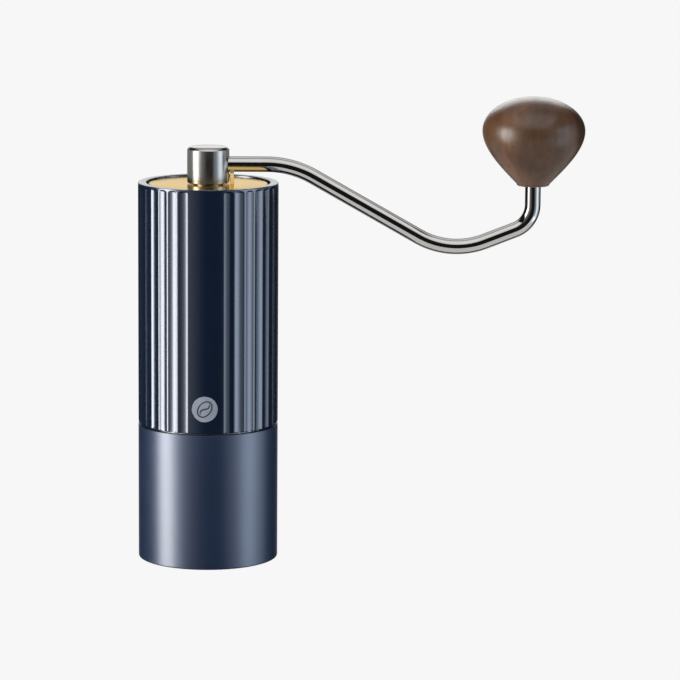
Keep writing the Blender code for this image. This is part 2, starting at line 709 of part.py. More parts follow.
def make_shaft(materials, body):
    """The drive shaft: thread for the dial, two flats for the burr, two clip grooves and a hexagon."""
    sides, chamfer = 24, 0.3
    groove = SHAFT_RADIUS - SHAFT_GROOVE_DEPTH
    rings = [round_ring(THREAD_RADIUS - chamfer, SHAFT_BOTTOM, sides)]
    rings += [round_ring(THREAD_RADIUS, height, sides) for height in (SHAFT_BOTTOM + chamfer, FLATS_BOTTOM)]
    rings += [flats_ring(SHAFT_RADIUS, FLATS_HALF_WIDTH, height) for height in (FLATS_BOTTOM, FLATS_TOP)]
    rings.append(round_ring(SHAFT_RADIUS, FLATS_TOP, sides))
    for low, high in SHAFT_GROOVES:
        for height, radius in ((low, SHAFT_RADIUS), (low, groove), (high, groove), (high, SHAFT_RADIUS)):
            rings.append(round_ring(radius, height, sides))
    rings.append(round_ring(SHAFT_RADIUS, HEX_BOTTOM, sides))
    rings += [hex_ring(HEX_ACROSS_FLATS, height) for height in (HEX_BOTTOM, SHAFT_TOP - chamfer)]
    rings.append(hex_ring(HEX_ACROSS_FLATS - 2 * chamfer, SHAFT_TOP))
    mesh = ring_mesh("drive_shaft", rings, closed=False)
    place("drive_shaft", mesh, materials["polished_steel"], body)


def make_shaft_clips(materials, body):
    """The two spring clips on the shaft, below and above the upper bearing."""
    inner, outer = SHAFT_RADIUS - SHAFT_GROOVE_DEPTH + RUNNING, 4.5
    for name, (low, high) in zip(("lower_shaft_clip", "upper_shaft_clip"), SHAFT_GROOVES):
        clip = snap_ring_mesh(name, inner, outer, low + TOUCHING, high - TOUCHING, CLIP_GAP, 20)
        place(name, clip, materials["spring_steel"], body)


# -------------------------------------------------------------------- crank


def rounded_path(start, corners, end, bend_steps):
    """Points along straight runs through corners of (x, z, bend radius), with the bends as arcs."""
    ends = [start, *[(x, z) for x, z, _ in corners], end]
    points = [(start[0], 0.0, start[1])]
    for i, (x, z, radius) in enumerate(corners):
        corner = Vector((x, z))
        back = (Vector(ends[i]) - corner).normalized()
        ahead = (Vector(ends[i + 2]) - corner).normalized()
        half = back.angle(ahead) / 2
        centre = corner + (back + ahead).normalized() * (radius / math.sin(half))
        spoke = corner + back * (radius / math.tan(half)) - centre
        sense = 1.0 if back.x * ahead.y < back.y * ahead.x else -1.0
        for step in range(bend_steps + 1):
            angle = sense * (math.pi - 2 * half) * step / bend_steps
            point = centre + Matrix.Rotation(angle, 2) @ spoke
            points.append((point.x, 0.0, point.y))
    return points


def make_crank_arm(materials, body):
    """The bent rod from the hub to the inside of the knob, with a groove near its end for the knob's clip."""
    points = rounded_path((ROD_START, ROD_HEIGHT), ROD_CORNERS, (CRANK_RADIUS, ROD_END), 7)
    radii = [1.0] * len(points)
    low, high = ROD_GROOVE
    neck, slope = ROD_NECK / ROD_RADIUS, 0.05
    for height, radius in (
        (low, 1.0),
        (low + slope, neck),
        (high - slope, neck),
        (high, 1.0),
        (ROD_END, 1.0),
    ):
        points.append((CRANK_RADIUS, 0.0, height))
        radii.append(radius)
    curve = tube_curve("crank_arm", points, ROD_RADIUS, 4, radii)
    place("crank_arm", curve, materials["polished_steel"], body)


def make_hub(materials, body):
    """The socket at the middle of the crank: a hexagonal bore from below, and a cross bore for the rod."""
    neck = STEM_RADIUS - 0.6
    outline = [
        (0.0, STEM_BOTTOM),
        (STEM_RADIUS, STEM_BOTTOM),
        (STEM_RADIUS, STEM_GROOVE[0]),
        (neck, STEM_GROOVE[0]),
        (neck, STEM_GROOVE[1]),
        (STEM_RADIUS, STEM_GROOVE[1]),
        (STEM_RADIUS, HUB_BOTTOM),
        (HUB_RADIUS, HUB_BOTTOM),
        (HUB_RADIUS, HUB_TOP - HUB_CHAMFER),
        (HUB_RADIUS - HUB_CHAMFER, HUB_TOP),
        (0.0, HUB_TOP),
    ]
    hub = place("crank_hub", turned_mesh("crank_hub", outline, 32), materials["polished_steel"], body)
    socket = [hex_ring(HEX_ACROSS_FLATS + 0.25, z) for z in (STEM_BOTTOM - 1.0, SOCKET_TOP)]
    boolean(hub, cutter("hex_socket", ring_mesh("hex_socket", socket, closed=False), body), "DIFFERENCE")
    ends = [(ROD_START - 0.3, 0.0, ROD_HEIGHT), (HUB_RADIUS + 4.0, 0.0, ROD_HEIGHT)]
    bore = curve_to_mesh(tube_curve("rod_bore", ends, ROD_RADIUS + RUNNING, 4))
    boolean(hub, cutter("rod_bore", bore, body), "DIFFERENCE")
    return hub


def make_grub_screw(hub, materials, body):
    """The screw inside the hub that holds the rod from below, reached through the hexagonal bore."""
    radius, sides = 1.45, 12
    hole = rod_mesh("grub_screw_hole", radius + 0.2, SOCKET_TOP - 1.0, ROD_HEIGHT, sides)
    boolean(hub, cutter("grub_screw_hole", hole, body), "DIFFERENCE")
    top = ROD_HEIGHT - ROD_RADIUS - TOUCHING
    screw = rod_mesh("arm_grub_screw", radius, SOCKET_TOP + 0.2, top, sides)
    place("arm_grub_screw", screw, materials["spring_steel"], body)


def make_lid(materials, body):
    """The gold lid round the hub, with a lug under the rod, and the black ring that fits it to the shell."""
    outline = [
        (LID_BORE, LID_BOTTOM),
        (LID_RADIUS, LID_BOTTOM),
        (LID_RADIUS, LID_TOP - EDGE),
        (LID_RADIUS - EDGE, LID_TOP),
        (LID_BORE, LID_TOP),
    ]
    lid = place("lid_plate", turned_mesh("lid_plate", outline, 48), materials["gold_anodised"], body)
    low = (LUG_INNER, -LUG_HALF_WIDTH, LID_TOP - 0.6)
    high = (LUG_OUTER, LUG_HALF_WIDTH, ROD_HEIGHT - ROD_RADIUS - 0.3)
    boolean(lid, cutter("lid_lug", block_mesh("lid_lug", low, high), body), "UNION")
    shelf, collar = LID_BOTTOM - 0.3, LID_RADIUS + 0.2
    ring = [
        (LID_RING_BORE, LID_RING_BOTTOM),
        (LID_RING_RADIUS - EDGE, LID_RING_BOTTOM),
        (LID_RING_RADIUS, LID_RING_BOTTOM + EDGE),
        (LID_RING_RADIUS, LID_RING_TOP),
        (collar, LID_RING_TOP),
        (collar, shelf),
        (LID_RING_BORE, shelf),
    ]
    lid_ring = place("lid_ring", turned_mesh("lid_ring", ring, 40), materials["black_plastic"], body)
    return lid, lid_ring


def make_lid_screws(lid, lid_ring, materials, body):
    """The three screws up through the black ring into the lid."""
    head, shank, tip = 1.4, 0.75, 140.0
    low, shoulder = LID_RING_BOTTOM - 0.8, LID_RING_BOTTOM - TOUCHING
    outline = [
        (0.0, low),
        (head, low),
        (head, shoulder),
        (shank, shoulder),
        (shank, tip),
        (0.0, tip),
    ]
    screw = moved_out(turned_mesh("lid_screw", outline, 8), LID_SCREW_CIRCLE)
    hole = rod_mesh("lid_screw_hole", shank + 0.2, low - 0.5, tip + 0.2, 8)
    moved_out(hole, LID_SCREW_CIRCLE)
    for i, angle in enumerate(around(3, math.radians(30))):
        drill = cutter(f"lid_screw_hole_{i + 1}", hole, body, angle)
        boolean(lid, drill, "DIFFERENCE")
        boolean(lid_ring, drill, "DIFFERENCE")
        place(f"lid_screw_{i + 1}", screw, materials["spring_steel"], body, angle)


def make_lid_clip(materials, body):
    """The washer under the lid and the clip in the hub's groove that holds the lid up against the hub."""
    outer, low, high = 9.0, LID_BOTTOM - 0.9, LID_BOTTOM - 0.3
    washer = [(LID_BORE, low), (outer, low), (outer, high), (LID_BORE, high)]
    place("lid_washer", turned_mesh("lid_washer", washer, 24), materials["spring_steel"], body)
    inner, reach = STEM_RADIUS - 0.48, 7.2
    low, high = STEM_GROOVE[0] + TOUCHING, STEM_GROOVE[1] - TOUCHING
    clip = snap_ring_mesh("lid_clip", inner, reach, low, high, CLIP_GAP, 24)
    place("lid_clip", clip, materials["spring_steel"], body)


# --------------------------------------------------------------------- knob


def bezier(ends, t):
    weights = ((1 - t) ** 3, 3 * t * (1 - t) ** 2, 3 * t**2 * (1 - t), t**3)
    return tuple(sum(w * end[i] for w, end in zip(weights, ends)) for i in range(2))


def knob_outline(top_steps=7, flank_steps=6):
    """From the top down: a quarter ellipse, a flank that curves in, a rounded base edge, and the bore."""
    rise = KNOB_TOP - KNOB_WIDEST
    top = [(KNOB_RADIUS * math.sin(a), KNOB_WIDEST + rise * math.cos(a)) for a in quarter(top_steps)]
    flank = [bezier(KNOB_FLANK, step / flank_steps) for step in range(1, flank_steps + 1)]
    base = [(KNOB_FACE_RADIUS, KNOB_BASE), (KNOB_BORE, KNOB_BASE)]
    bore = [(KNOB_BORE, KNOB_BORE_TOP), (0.0, KNOB_BORE_TOP)]
    return [(0.0, KNOB_TOP), *top[1:], *flank, *base, *bore]


def make_knob(materials, bodies):
    """The wooden knob, the two bushes that it turns on, and the clip that keeps it on the rod."""
    mesh = turned_mesh("wooden_knob", knob_outline(), 36)
    place("wooden_knob", mesh, materials["walnut"], bodies["knob"])
    inner, outer = ROD_RADIUS + 0.08, KNOB_BORE - TOUCHING
    for name, (low, high) in (("lower_knob_bush", LOWER_BUSH), ("upper_knob_bush", UPPER_BUSH)):
        bush = [(inner, low), (outer, low), (outer, high), (inner, high)]
        place(name, turned_mesh(name, bush, 20), materials["bronze"], bodies["knob"])
    low, high = ROD_GROOVE[0] + TOUCHING, ROD_GROOVE[1] - TOUCHING
    clip = snap_ring_mesh("knob_clip", ROD_NECK + RUNNING, 4.2, low, high, CLIP_GAP, 20)
    place("knob_clip", moved_out(clip, CRANK_RADIUS), materials["spring_steel"], bodies["crank"])


def main():
    clear_scene()
    materials = make_materials()
    bodies = make_bodies()
    make_cup(materials, bodies["cup"])

    grinder = bodies["grinder"]
    make_shell(materials, grinder)
    make_barrel(materials, grinder)
    make_o_ring(materials, grinder)
    make_bridges(materials, grinder)
    make_bearing("upper", UPPER_BRIDGE, materials, bodies)
    make_bearing("lower", LOWER_BRIDGE, materials, bodies)
    make_ring_burr(materials, grinder)
    make_retainer(materials, grinder)

    make_shaft(materials, bodies["spindle"])
    make_shaft_clips(materials, bodies["spindle"])
    make_burr_spring(materials, bodies["spindle"])
    make_cone_burr(materials, bodies["inner_burr"])
    make_click_plate(materials, bodies["inner_burr"])
    make_detents(materials, bodies["inner_burr"])
    make_dial(materials, bodies["dial"])

    crank = bodies["crank"]
    hub = make_hub(materials, crank)
    make_grub_screw(hub, materials, crank)
    make_crank_arm(materials, crank)
    make_lid_screws(*make_lid(materials, crank), materials, crank)
    make_lid_clip(materials, crank)
    make_knob(materials, bodies)


main()
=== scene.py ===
from math import acos, asin, cos, pi, radians, sin, sqrt, tan, tau

import bmesh
import bpy
from mathutils import Matrix, Vector


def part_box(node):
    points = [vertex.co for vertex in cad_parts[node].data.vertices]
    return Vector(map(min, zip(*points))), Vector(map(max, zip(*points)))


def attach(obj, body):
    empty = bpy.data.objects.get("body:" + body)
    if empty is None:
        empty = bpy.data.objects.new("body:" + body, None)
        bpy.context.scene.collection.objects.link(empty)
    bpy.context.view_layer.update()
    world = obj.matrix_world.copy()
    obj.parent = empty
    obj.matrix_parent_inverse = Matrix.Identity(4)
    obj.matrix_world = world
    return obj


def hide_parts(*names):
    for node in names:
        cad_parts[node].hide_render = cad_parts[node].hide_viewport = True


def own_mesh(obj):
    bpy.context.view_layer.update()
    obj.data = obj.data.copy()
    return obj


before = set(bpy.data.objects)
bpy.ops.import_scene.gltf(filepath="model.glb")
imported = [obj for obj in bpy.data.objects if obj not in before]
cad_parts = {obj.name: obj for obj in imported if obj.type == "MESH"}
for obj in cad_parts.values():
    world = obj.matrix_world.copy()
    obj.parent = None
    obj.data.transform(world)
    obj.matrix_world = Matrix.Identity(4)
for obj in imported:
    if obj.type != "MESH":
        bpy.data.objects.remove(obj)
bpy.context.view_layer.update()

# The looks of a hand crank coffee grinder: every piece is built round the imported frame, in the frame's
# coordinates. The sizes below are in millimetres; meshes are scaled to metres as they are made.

MM = 0.001
WELD = 1e-5  # points closer than this become one
SHARP_ANGLE = 30.0  # degrees; steeper edges are shaded sharp


def span(node):
    """The lowest and highest corner of a CAD node, in millimetres."""
    low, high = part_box(node)
    return low / MM, high / MM


# Sizes read from the frame.
CUP_LOW, CUP_HIGH = span("catch_cup")
SHELL_LOW, SHELL_HIGH = span("fluted_shell")
_, PAD_HIGH = span("base_pad")
BARREL_LOW, BARREL_HIGH = span("inner_barrel")
LID_LOW, LID_HIGH = span("lid_plate")
RING_LOW, RING_HIGH = span("lid_ring")
HUB_LOW, HUB_HIGH = span("crank_hub")
ARM_LOW, ARM_HIGH = span("crank_arm")
KNOB_LOW, KNOB_HIGH = span("wooden_knob")
BODY_RADIUS = CUP_HIGH.x
CRANK_RADIUS = (KNOB_LOW.x + KNOB_HIGH.x) / 2
KNOB_RADIUS = (KNOB_HIGH.x - KNOB_LOW.x) / 2
ROD_RADIUS = ARM_HIGH.y

# The fluted shell. The flutes fade out over the last FLUTE_FADE of their edges.
FLUTES = 35
PANEL_ANGLE = radians(-1.06)
PANEL_HALF_ANGLE = radians(14.06)
FLUTE_PITCH = (tau - 2 * PANEL_HALF_ANGLE) / FLUTES
FLUTE_DEPTH = 0.32
FLUTE_SHARE = 0.86
FLUTE_TOP, FLUTE_RUN_OUT = 140.9, 0.9
FLUTE_EDGE, FLUTE_FADE = 0.03, 0.1
FLUTE_STEPS, PANEL_STEPS = 26, 24
SHELL_BORE = 22.95
CUP_BORE = 24.0

# The crank: corners of the rod's straight runs as (x, z, bend radius), and the hub's turned sizes.
ROD_HEIGHT = 148.06
ROD_CORNERS = ((30.8, ROD_HEIGHT, 35.0), (89.8, 114.6, 29.0), (CRANK_RADIUS, 126.5, 10.0))
HUB_SHOULDER = 141.3
STEM_RADIUS = 5.5
LID_TOP = 140.9
LID_BORE = 5.65
KNOB_WIDEST = 160.9
KNOB_FLANK = ((KNOB_RADIUS, KNOB_WIDEST), (KNOB_RADIUS, 154.2), (12.0, 147.2), (6.2, 141.3))

# Inside the body: the burrs' narrowest height, the shaft and the hole that slides on its flats as
# (radius, half width), the bearing balls, and the circles that small parts stand on.
BURR_THROAT, BURR_SIDES = 57.0, 384
SHAFT_RADIUS, SHAFT_HALF_WIDTH = 3.0, 2.4
SHAFT_HOLE = (3.15, 2.52)
BALL_RADIUS, BALL_CIRCLE, BALL_COUNT = 1.15, 5.25, 7
RETAINER_CIRCLE, LID_CIRCLE, DETENT_CIRCLE = 20.7, 19.0, 6.8
SCREW_SOCKET = 1.3
CLIP_GAP = radians(60)

# The emblem on the plain panel: a bean in a disc.
BADGE_ANGLE = radians(-1.9)
BADGE_HEIGHT = 60.7
BADGE_RADIUS = 4.75

# The box on the right as azimuth, elevation, distance and size, and the brightness across the three large
# boxes as (position, share) stops.
RIGHT_BOX = (68, 0, 1.0, (1.62, 1.1))
RIGHT_FADE = (
    *((0.0, 0.17), (0.26, 0.17), (0.335, 0.44), (0.413, 0.68), (0.48, 0.88)),
    *((0.543, 1.0), (0.62, 0.76), (0.713, 0.45), (0.815, 0.3), (1.0, 0.26)),
)
LEFT_FADE = (
    *((0.0, 0.0), (0.08, 0.12), (0.14, 1.0), (0.36, 1.0), (0.42, 0.26), (0.48, 0.13)),
    *((0.54, 0.08), (0.6, 0.05), (0.66, 0.035), (0.78, 0.02), (1.0, 0.0)),
)
OVERHEAD_FADE = ((0.0, 0.5), (0.12, 0.8), (0.25, 1.0), (0.5, 1.0), (0.6, 0.4), (0.67, 0.3), (1.0, 0.2))

# Lights for one piece only: the piece, a name, azimuth, elevation, distance, size, radiance and aim point.
PIECE_LIGHTS = (
    ("arm", "under_arm", 0, -90, 0.1, (0.6, 0.32), 0.8, (0.08, -0.15, 0.09)),
    ("arm", "over_arm", 180, 55, 0.8, (1.2, 0.6), 0.6, (0.08, 0.0, 0.13)),
    ("arm", "behind_arm", 180, -42, 0.6, (1.2, 0.5), 0.28, (0.08, 0.0, 0.13)),
    ("knob", "knob_left", -66, 0, 1.0, (0.5, 0.6), 4.2, (0.12, 0.0, 0.155)),
    ("knob", "under_knob", 0, -90, 0.1, (0.7, 0.7), 0.4, (0.12, -0.1, 0.09)),
    ("knob", "behind_knob", 180, 26, 1.0, (0.7, 0.45), 1.9, (0.12, 0.0, 0.16)),
    ("hub", "hub_left", -128, 5, 0.5, (0.6, 0.3), 0.22, (0.0, 0.0, 0.148)),
    ("hub", "hub_right", 128, 5, 0.5, (0.6, 0.3), 0.2, (0.0, 0.0, 0.148)),
    ("hub", "hub_behind", 180, 24, 0.6, (0.5, 0.4), 0.3, (0.0, 0.0, 0.148)),
    ("lug", "lug_front", 0, 10, 0.5, (0.3, 0.3), 5.0, (0.0, 0.0, 0.141)),
)

# The stage: how far off it is, how bright it is, and how far the floor lies under the pad.
STAGE_RADIUS, STAGE_GLOW, WORLD_GLOW = 14000.0, 0.93, 0.012
FLOOR_DROP = 0.2


# ---- shape helpers


def around(count, first=0.0):
    """Angles at even steps round a full turn."""
    return [first + tau * i / count for i in range(count)]


def steps(low, high, count):
    """Even steps from low to high, both included."""
    return [low + (high - low) * i / count for i in range(count + 1)]


def show(name, data):
    """A new object in the scene."""
    obj = bpy.data.objects.new(name, data)
    bpy.context.scene.collection.objects.link(obj)
    return obj


def piece_from(name, bm, sharp=SHARP_ANGLE):
    """A smooth-shaded object from a bmesh in millimetres."""
    bmesh.ops.remove_doubles(bm, verts=bm.verts, dist=WELD)
    bmesh.ops.recalc_face_normals(bm, faces=bm.faces)
    bmesh.ops.scale(bm, verts=bm.verts, vec=(MM, MM, MM))
    mesh = bpy.data.meshes.new(name)
    bm.to_mesh(mesh)
    bm.free()
    mesh.shade_smooth()
    mesh.set_sharp_from_angle(angle=radians(sharp))
    return show(name, mesh)


def finish(obj, look, body, *nodes, slot=None):
    """Gives a piece its material and body, and hides the CAD nodes that it stands for. Its slot argument is
    not used.
    """
    material, own_slot = LOOKS[look]
    obj.data.materials.append(material)
    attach(obj, body)
    if nodes:
        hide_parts(*nodes)
    return obj


def rounded(corners, closed=True, count=4):
    """Outline points from (radius, height, fillet) corners, each fillet a curve between its edges."""
    points = []
    last = len(corners) - 1
    for i, (r, z, fillet) in enumerate(corners):
        corner = Vector((r, z))
        if fillet == 0.0 or (not closed and i in (0, last)):
            points.append(corner)
            continue
        before = Vector(corners[i - 1][:2]) - corner
        after = Vector(corners[(i + 1) % len(corners)][:2]) - corner
        half = before.angle(after) / 2
        reach = min(fillet / tan(half), 0.49 * before.length, 0.49 * after.length)
        start, end = corner + before.normalized() * reach, corner + after.normalized() * reach
        for t in steps(0.0, 1.0, count):
            points.append(start * (1 - t) ** 2 + corner * 2 * t * (1 - t) + end * t**2)
    return [(point.x, point.y) for point in points]


def add_skin(bm, rings, closed):
    """Skins rings of equally many points: closed to the first ring, or capped at both ends."""
    rows = [[bm.verts.new(point) for point in ring] for ring in rings]
    pairs = list(zip(rows, rows[1:]))
    if closed:
        pairs.append((rows[-1], rows[0]))
    else:
        bm.faces.new(rows[0])
        bm.faces.new(rows[-1])
    for low, high in pairs:
        for i in range(len(low)):
            j = (i + 1) % len(low)
            bm.faces.new((low[i], low[j], high[j], high[i]))


def skin(name, rings, closed, sharp=SHARP_ANGLE):
    bm = bmesh.new()
    add_skin(bm, rings, closed)
    return piece_from(name, bm, sharp)


def lathe(name, outline, sides=128, axis_x=0.0, sharp=SHARP_ANGLE):
    """Turns an outline of (radius, height) points about a vertical axis."""
    bm = bmesh.new()
    angles = around(sides)
    rows = []
    for r, z in outline:
        if r < 1e-6:
            rows.append([bm.verts.new((axis_x, 0.0, z))])
        else:
            rows.append([bm.verts.new((axis_x + r * cos(a), r * sin(a), z)) for a in angles])
    pairs = list(zip(rows, rows[1:]))
    if len(rows[0]) > 1 or len(rows[-1]) > 1:
        pairs.append((rows[-1], rows[0]))
    for low, high in pairs:
        for i in range(sides):
            j = (i + 1) % sides
            corners = [low[i % len(low)], low[j % len(low)], high[j % len(high)], high[i % len(high)]]
            face = list(dict.fromkeys(corners))
            if len(face) > 2:
                bm.faces.new(face)
    return piece_from(name, bm, sharp)


def polar(radius, angle, height):
    return (radius * cos(angle), radius * sin(angle), height)


def round_ring(radius, height, sides):
    return [polar(radius, a, height) for a in around(sides)]


def round_rings(profile, sides):
    """A round ring at each (radius, height) of the profile."""
    return [round_ring(radius, height, sides) for radius, height in profile]


def hex_ring(across_flats, height, sides=96):
    """A hexagon with corners on +X and -X, with as many points as a round ring."""
    ring = []
    for angle in around(sides):
        radius = across_flats / 2 / cos(angle % (pi / 3) - pi / 6)
        ring.append(polar(radius, angle, height))
    return ring


def flats_ring(radius, half_width, height, sides=96):
    """A circle cut by two flats."""
    ring = round_ring(radius, height, sides)
    return [(x, max(-half_width, min(half_width, y)), z) for x, y, z in ring]


def open_ring(name, section, gap, turn):
    """A closed section swept round the axis, except over the gap."""
    angles = steps(gap / 2 + turn, tau - gap / 2 + turn, 120)
    return skin(name, [[polar(r, a, z) for r, z in section] for a in angles], closed=False)


def tube(name, points, radius, sides=24):
    """A round wire along points, carried along without twist, with flat ends."""
    points = [Vector(point) for point in points]
    rings = []
    side = None
    for i, point in enumerate(points):
        ahead = points[min(i + 1, len(points) - 1)] - points[max(i - 1, 0)]
        ahead.normalize()
        if side is None:
            side = ahead.orthogonal().normalized()
        side = (side - ahead * side.dot(ahead)).normalized()
        up = ahead.cross(side)
        rings.append([point + (side * cos(a) + up * sin(a)) * radius for a in around(sides)])
    return skin(name, rings, closed=False, sharp=50.0)


def cut(obj, cutter):
    """Takes the cutter's shape out of the object for good."""
    modifier = obj.modifiers.new("cut", "BOOLEAN")
    modifier.operation = "DIFFERENCE"
    modifier.solver = "EXACT"
    modifier.object = cutter
    bpy.context.view_layer.update()
    graph = bpy.context.evaluated_depsgraph_get()
    mesh = bpy.data.meshes.new_from_object(obj.evaluated_get(graph))
    obj.modifiers.clear()
    obj.data = mesh
    mesh.name = obj.name
    mesh.shade_smooth()
    mesh.set_sharp_from_angle(angle=radians(SHARP_ANGLE))
    bpy.data.objects.remove(cutter)


def make_washer(name, node, inner, outer, fillet, look, body, gap=0.0, turn=0.0, axis_x=0.0):
    """A flat ring between two radii, as high as its CAD node: closed, or open over a gap."""
    low, high = span(node)
    corners = ((inner, low.z), (outer, low.z), (outer, high.z), (inner, high.z))
    outline = rounded([(r, z, fillet) for r, z in corners])
    obj = open_ring(name, outline, gap, turn) if gap else lathe(name, outline, 96, axis_x)
    finish(obj, look, body, node)


def copies(obj, name, node, angles, look, body):
    """The object turned to each angle about Z, each copy standing for one numbered node."""
    material, slot = LOOKS[look]
    obj.data.materials.append(material)
    for i, angle in enumerate(angles, 1):
        copy = obj if i == 1 else show(f"{name}_{i}", obj.data)
        copy.name = f"{name}_{i}"
        copy.matrix_world = Matrix.Rotation(angle, 4, "Z")
        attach(copy, body)
        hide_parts(f"{node}_{i}")


def drill(obj, outline, circle, count):
    """Cuts a turned hole at even turns round a circle."""
    for angle in around(count):
        cutter = lathe("drill", outline, 32, axis_x=circle)
        cutter.matrix_world = Matrix.Rotation(angle, 4, "Z")
        cut(obj, cutter)


def make_screws(name, node, socket_depth, profile, circle, first, body):
    """Three screws with hexagon sockets, heads down, at even turns round a circle."""
    base, sides = profile[0][1], 48
    rings = [hex_ring(SCREW_SOCKET, base + socket_depth, sides), hex_ring(SCREW_SOCKET, base, sides)]
    screw = skin(node, rings + round_rings(profile, sides), closed=False)
    screw.data.transform(Matrix.Translation((circle * MM, 0.0, 0.0)))
    copies(screw, name, node, around(3, first), "spring", body)


# ---- materials


def fill_ramp(ramp, stops):
    """Sets a colour ramp to (position, colour) stops; a single number stands for a grey."""
    while len(ramp.elements) < len(stops):
        ramp.elements.new(0.5)
    for element, (position, colour) in zip(ramp.elements, stops):
        element.position = position
        element.color = (*((colour,) * 3 if isinstance(colour, float) else colour), 1.0)


class Shader:
    """A Principled material with a few short ways to add procedural nodes to it."""

    def __init__(self, name, **constants):
        self.material = bpy.data.materials.new(name)
        self.material.use_nodes = True
        self.nodes = self.material.node_tree.nodes
        self.links = self.material.node_tree.links
        self.principled = next(n for n in self.nodes if n.type == "BSDF_PRINCIPLED")
        for socket, value in constants.items():
            self.principled.inputs[socket.replace("_", " ")].default_value = value
        self.coordinates = self.add("TexCoord").outputs["Object"]

    def add(self, kind, **inputs):
        """A new node, with each input linked to a socket or set to a value."""
        node = self.nodes.new("ShaderNode" + kind)
        for name, value in inputs.items():
            if isinstance(value, bpy.types.NodeSocket):
                self.links.new(value, node.inputs[name])
            else:
                node.inputs[name].default_value = value
        return node

    def noise(self, scale, detail=3.0, stretch=(1.0, 1.0, 1.0), distortion=0.0, turn=(0.0, 0.0, 0.0)):
        place = self.add("Mapping", Scale=stretch, Rotation=turn, Vector=self.coordinates).outputs["Vector"]
        node = self.add("TexNoise", Scale=scale, Detail=detail, Distortion=distortion, Vector=place)
        return node.outputs["Fac"]

    def turned(self, scale):
        """Fine rings about the Z axis and along it, as a lathe leaves them."""
        axes = self.add("SeparateXYZ", Vector=self.coordinates).outputs
        length = self.add("VectorMath")
        length.operation = "LENGTH"
        self.links.new(self.add("CombineXYZ", X=axes["X"], Y=axes["Y"]).outputs["Vector"], length.inputs[0])
        place = self.add("CombineXYZ", X=length.outputs["Value"], Y=axes["Z"]).outputs["Vector"]
        return self.add("TexNoise", Scale=scale, Detail=4.0, Vector=place).outputs["Fac"]

    def ramp(self, factor, *stops):
        node = self.add("ValToRGB", Fac=factor)
        fill_ramp(node.color_ramp, stops)
        return node.outputs["Color"]

    def multiply(self, factor, first, second):
        node = self.add("Mix")
        node.data_type = "RGBA"
        node.blend_type = "MULTIPLY"
        node.inputs["Factor"].default_value = factor
        self.links.new(first, node.inputs["A"])
        self.links.new(second, node.inputs["B"])
        return node.outputs["Result"]

    def drive(self, socket, output):
        self.links.new(output, self.principled.inputs[socket])

    def vary(self, socket, factor, low, high, start=0.3, end=0.7):
        """Drives a socket from low to high as the factor goes from start to end."""
        self.drive(socket, self.ramp(factor, (start, low), (end, high)))

    def bump(self, height, strength, distance=0.0001):
        node = self.add("Bump", Strength=strength, Distance=distance, Height=height)
        self.drive("Normal", node.outputs["Normal"])


def anodised_blue(name, rough, grain, dark, light):
    """Navy dyed anodising under a hard clear skin. The grain is the strength of the texture that blasting
    leaves, and 0 on the bright shell."""
    shader = Shader(name, Metallic=0.5, Coat_Weight=1.0, Coat_Roughness=rough, Coat_IOR=2.35)
    shader.vary("Base Color", shader.noise(35.0, 5.0), dark, light)
    shader.vary("Roughness", shader.noise(90.0, 4.0), rough * 1.2, rough * 1.5)
    shader.bump(shader.noise(3800.0, 3.0), grain, 0.00004)
    return shader.material


def anodised_gold(name, metallic, rough, lines):
    """Gold anodising: mirror-like on the turned lid, and scattering on its lug."""
    shader = Shader(name, Metallic=metallic, Specular_Tint=(0.95, 0.85, 0.60, 1.0))
    shader.vary("Base Color", shader.noise(60.0, 4.0), (0.80, 0.55, 0.19), (0.85, 0.60, 0.23))
    shader.vary("Roughness", shader.noise(120.0, 4.0), rough * 0.9, rough * 1.15)
    shader.bump(shader.turned(6400.0), lines)
    return shader.material


def polished_steel(name, rough, streaks):
    """Stainless steel polished along its length, with faint streaks and smudges."""
    shader = Shader(name, Metallic=1.0)
    smudges = shader.noise(90.0, 5.0, distortion=0.6)
    shader.vary("Base Color", smudges, (0.53, 0.515, 0.495), (0.59, 0.58, 0.565), 0.25, 0.75)
    fine = shader.noise(1800.0, 3.0, stretch=(1.0, 1.0, 0.06))
    shader.vary("Roughness", fine, rough * 0.8, rough * 1.25, 0.25, 0.75)
    shader.bump(fine, streaks, 0.00005)
    return shader.material


def plain_metal(name, dark, light, rough, grain=2600.0):
    """Bare steel: fine grain, and wear that changes its roughness."""
    shader = Shader(name, Metallic=1.0)
    shader.vary("Base Color", shader.noise(220.0, 6.0), dark, light)
    fine = shader.noise(grain, 4.0)
    shader.vary("Roughness", fine, rough * 0.8, rough * 1.2)
    shader.bump(fine, 0.08, 0.00004)
    return shader.material


def turned_metal(name, dark, light, rough, lines=0.2):
    """Lathe-turned metal with its tool marks running round the axis."""
    shader = Shader(name, Metallic=1.0)
    turned = shader.turned(4200.0)
    shader.vary("Base Color", turned, dark, light)
    shader.vary("Roughness", shader.noise(150.0, 5.0), rough * 0.85, rough * 1.15)
    shader.bump(turned, lines)
    return shader.material


def moulded(name, dark, light, rough, grain, strength):
    """Plastic or rubber: a fine moulded grain with slightly uneven gloss."""
    shader = Shader(name, Specular_IOR_Level=0.4)
    shader.vary("Base Color", shader.noise(300.0, 4.0), dark, light)
    fine = shader.noise(grain, 5.0)
    shader.vary("Roughness", fine, rough * 0.9, rough * 1.1)
    shader.bump(fine, strength)
    return shader.material


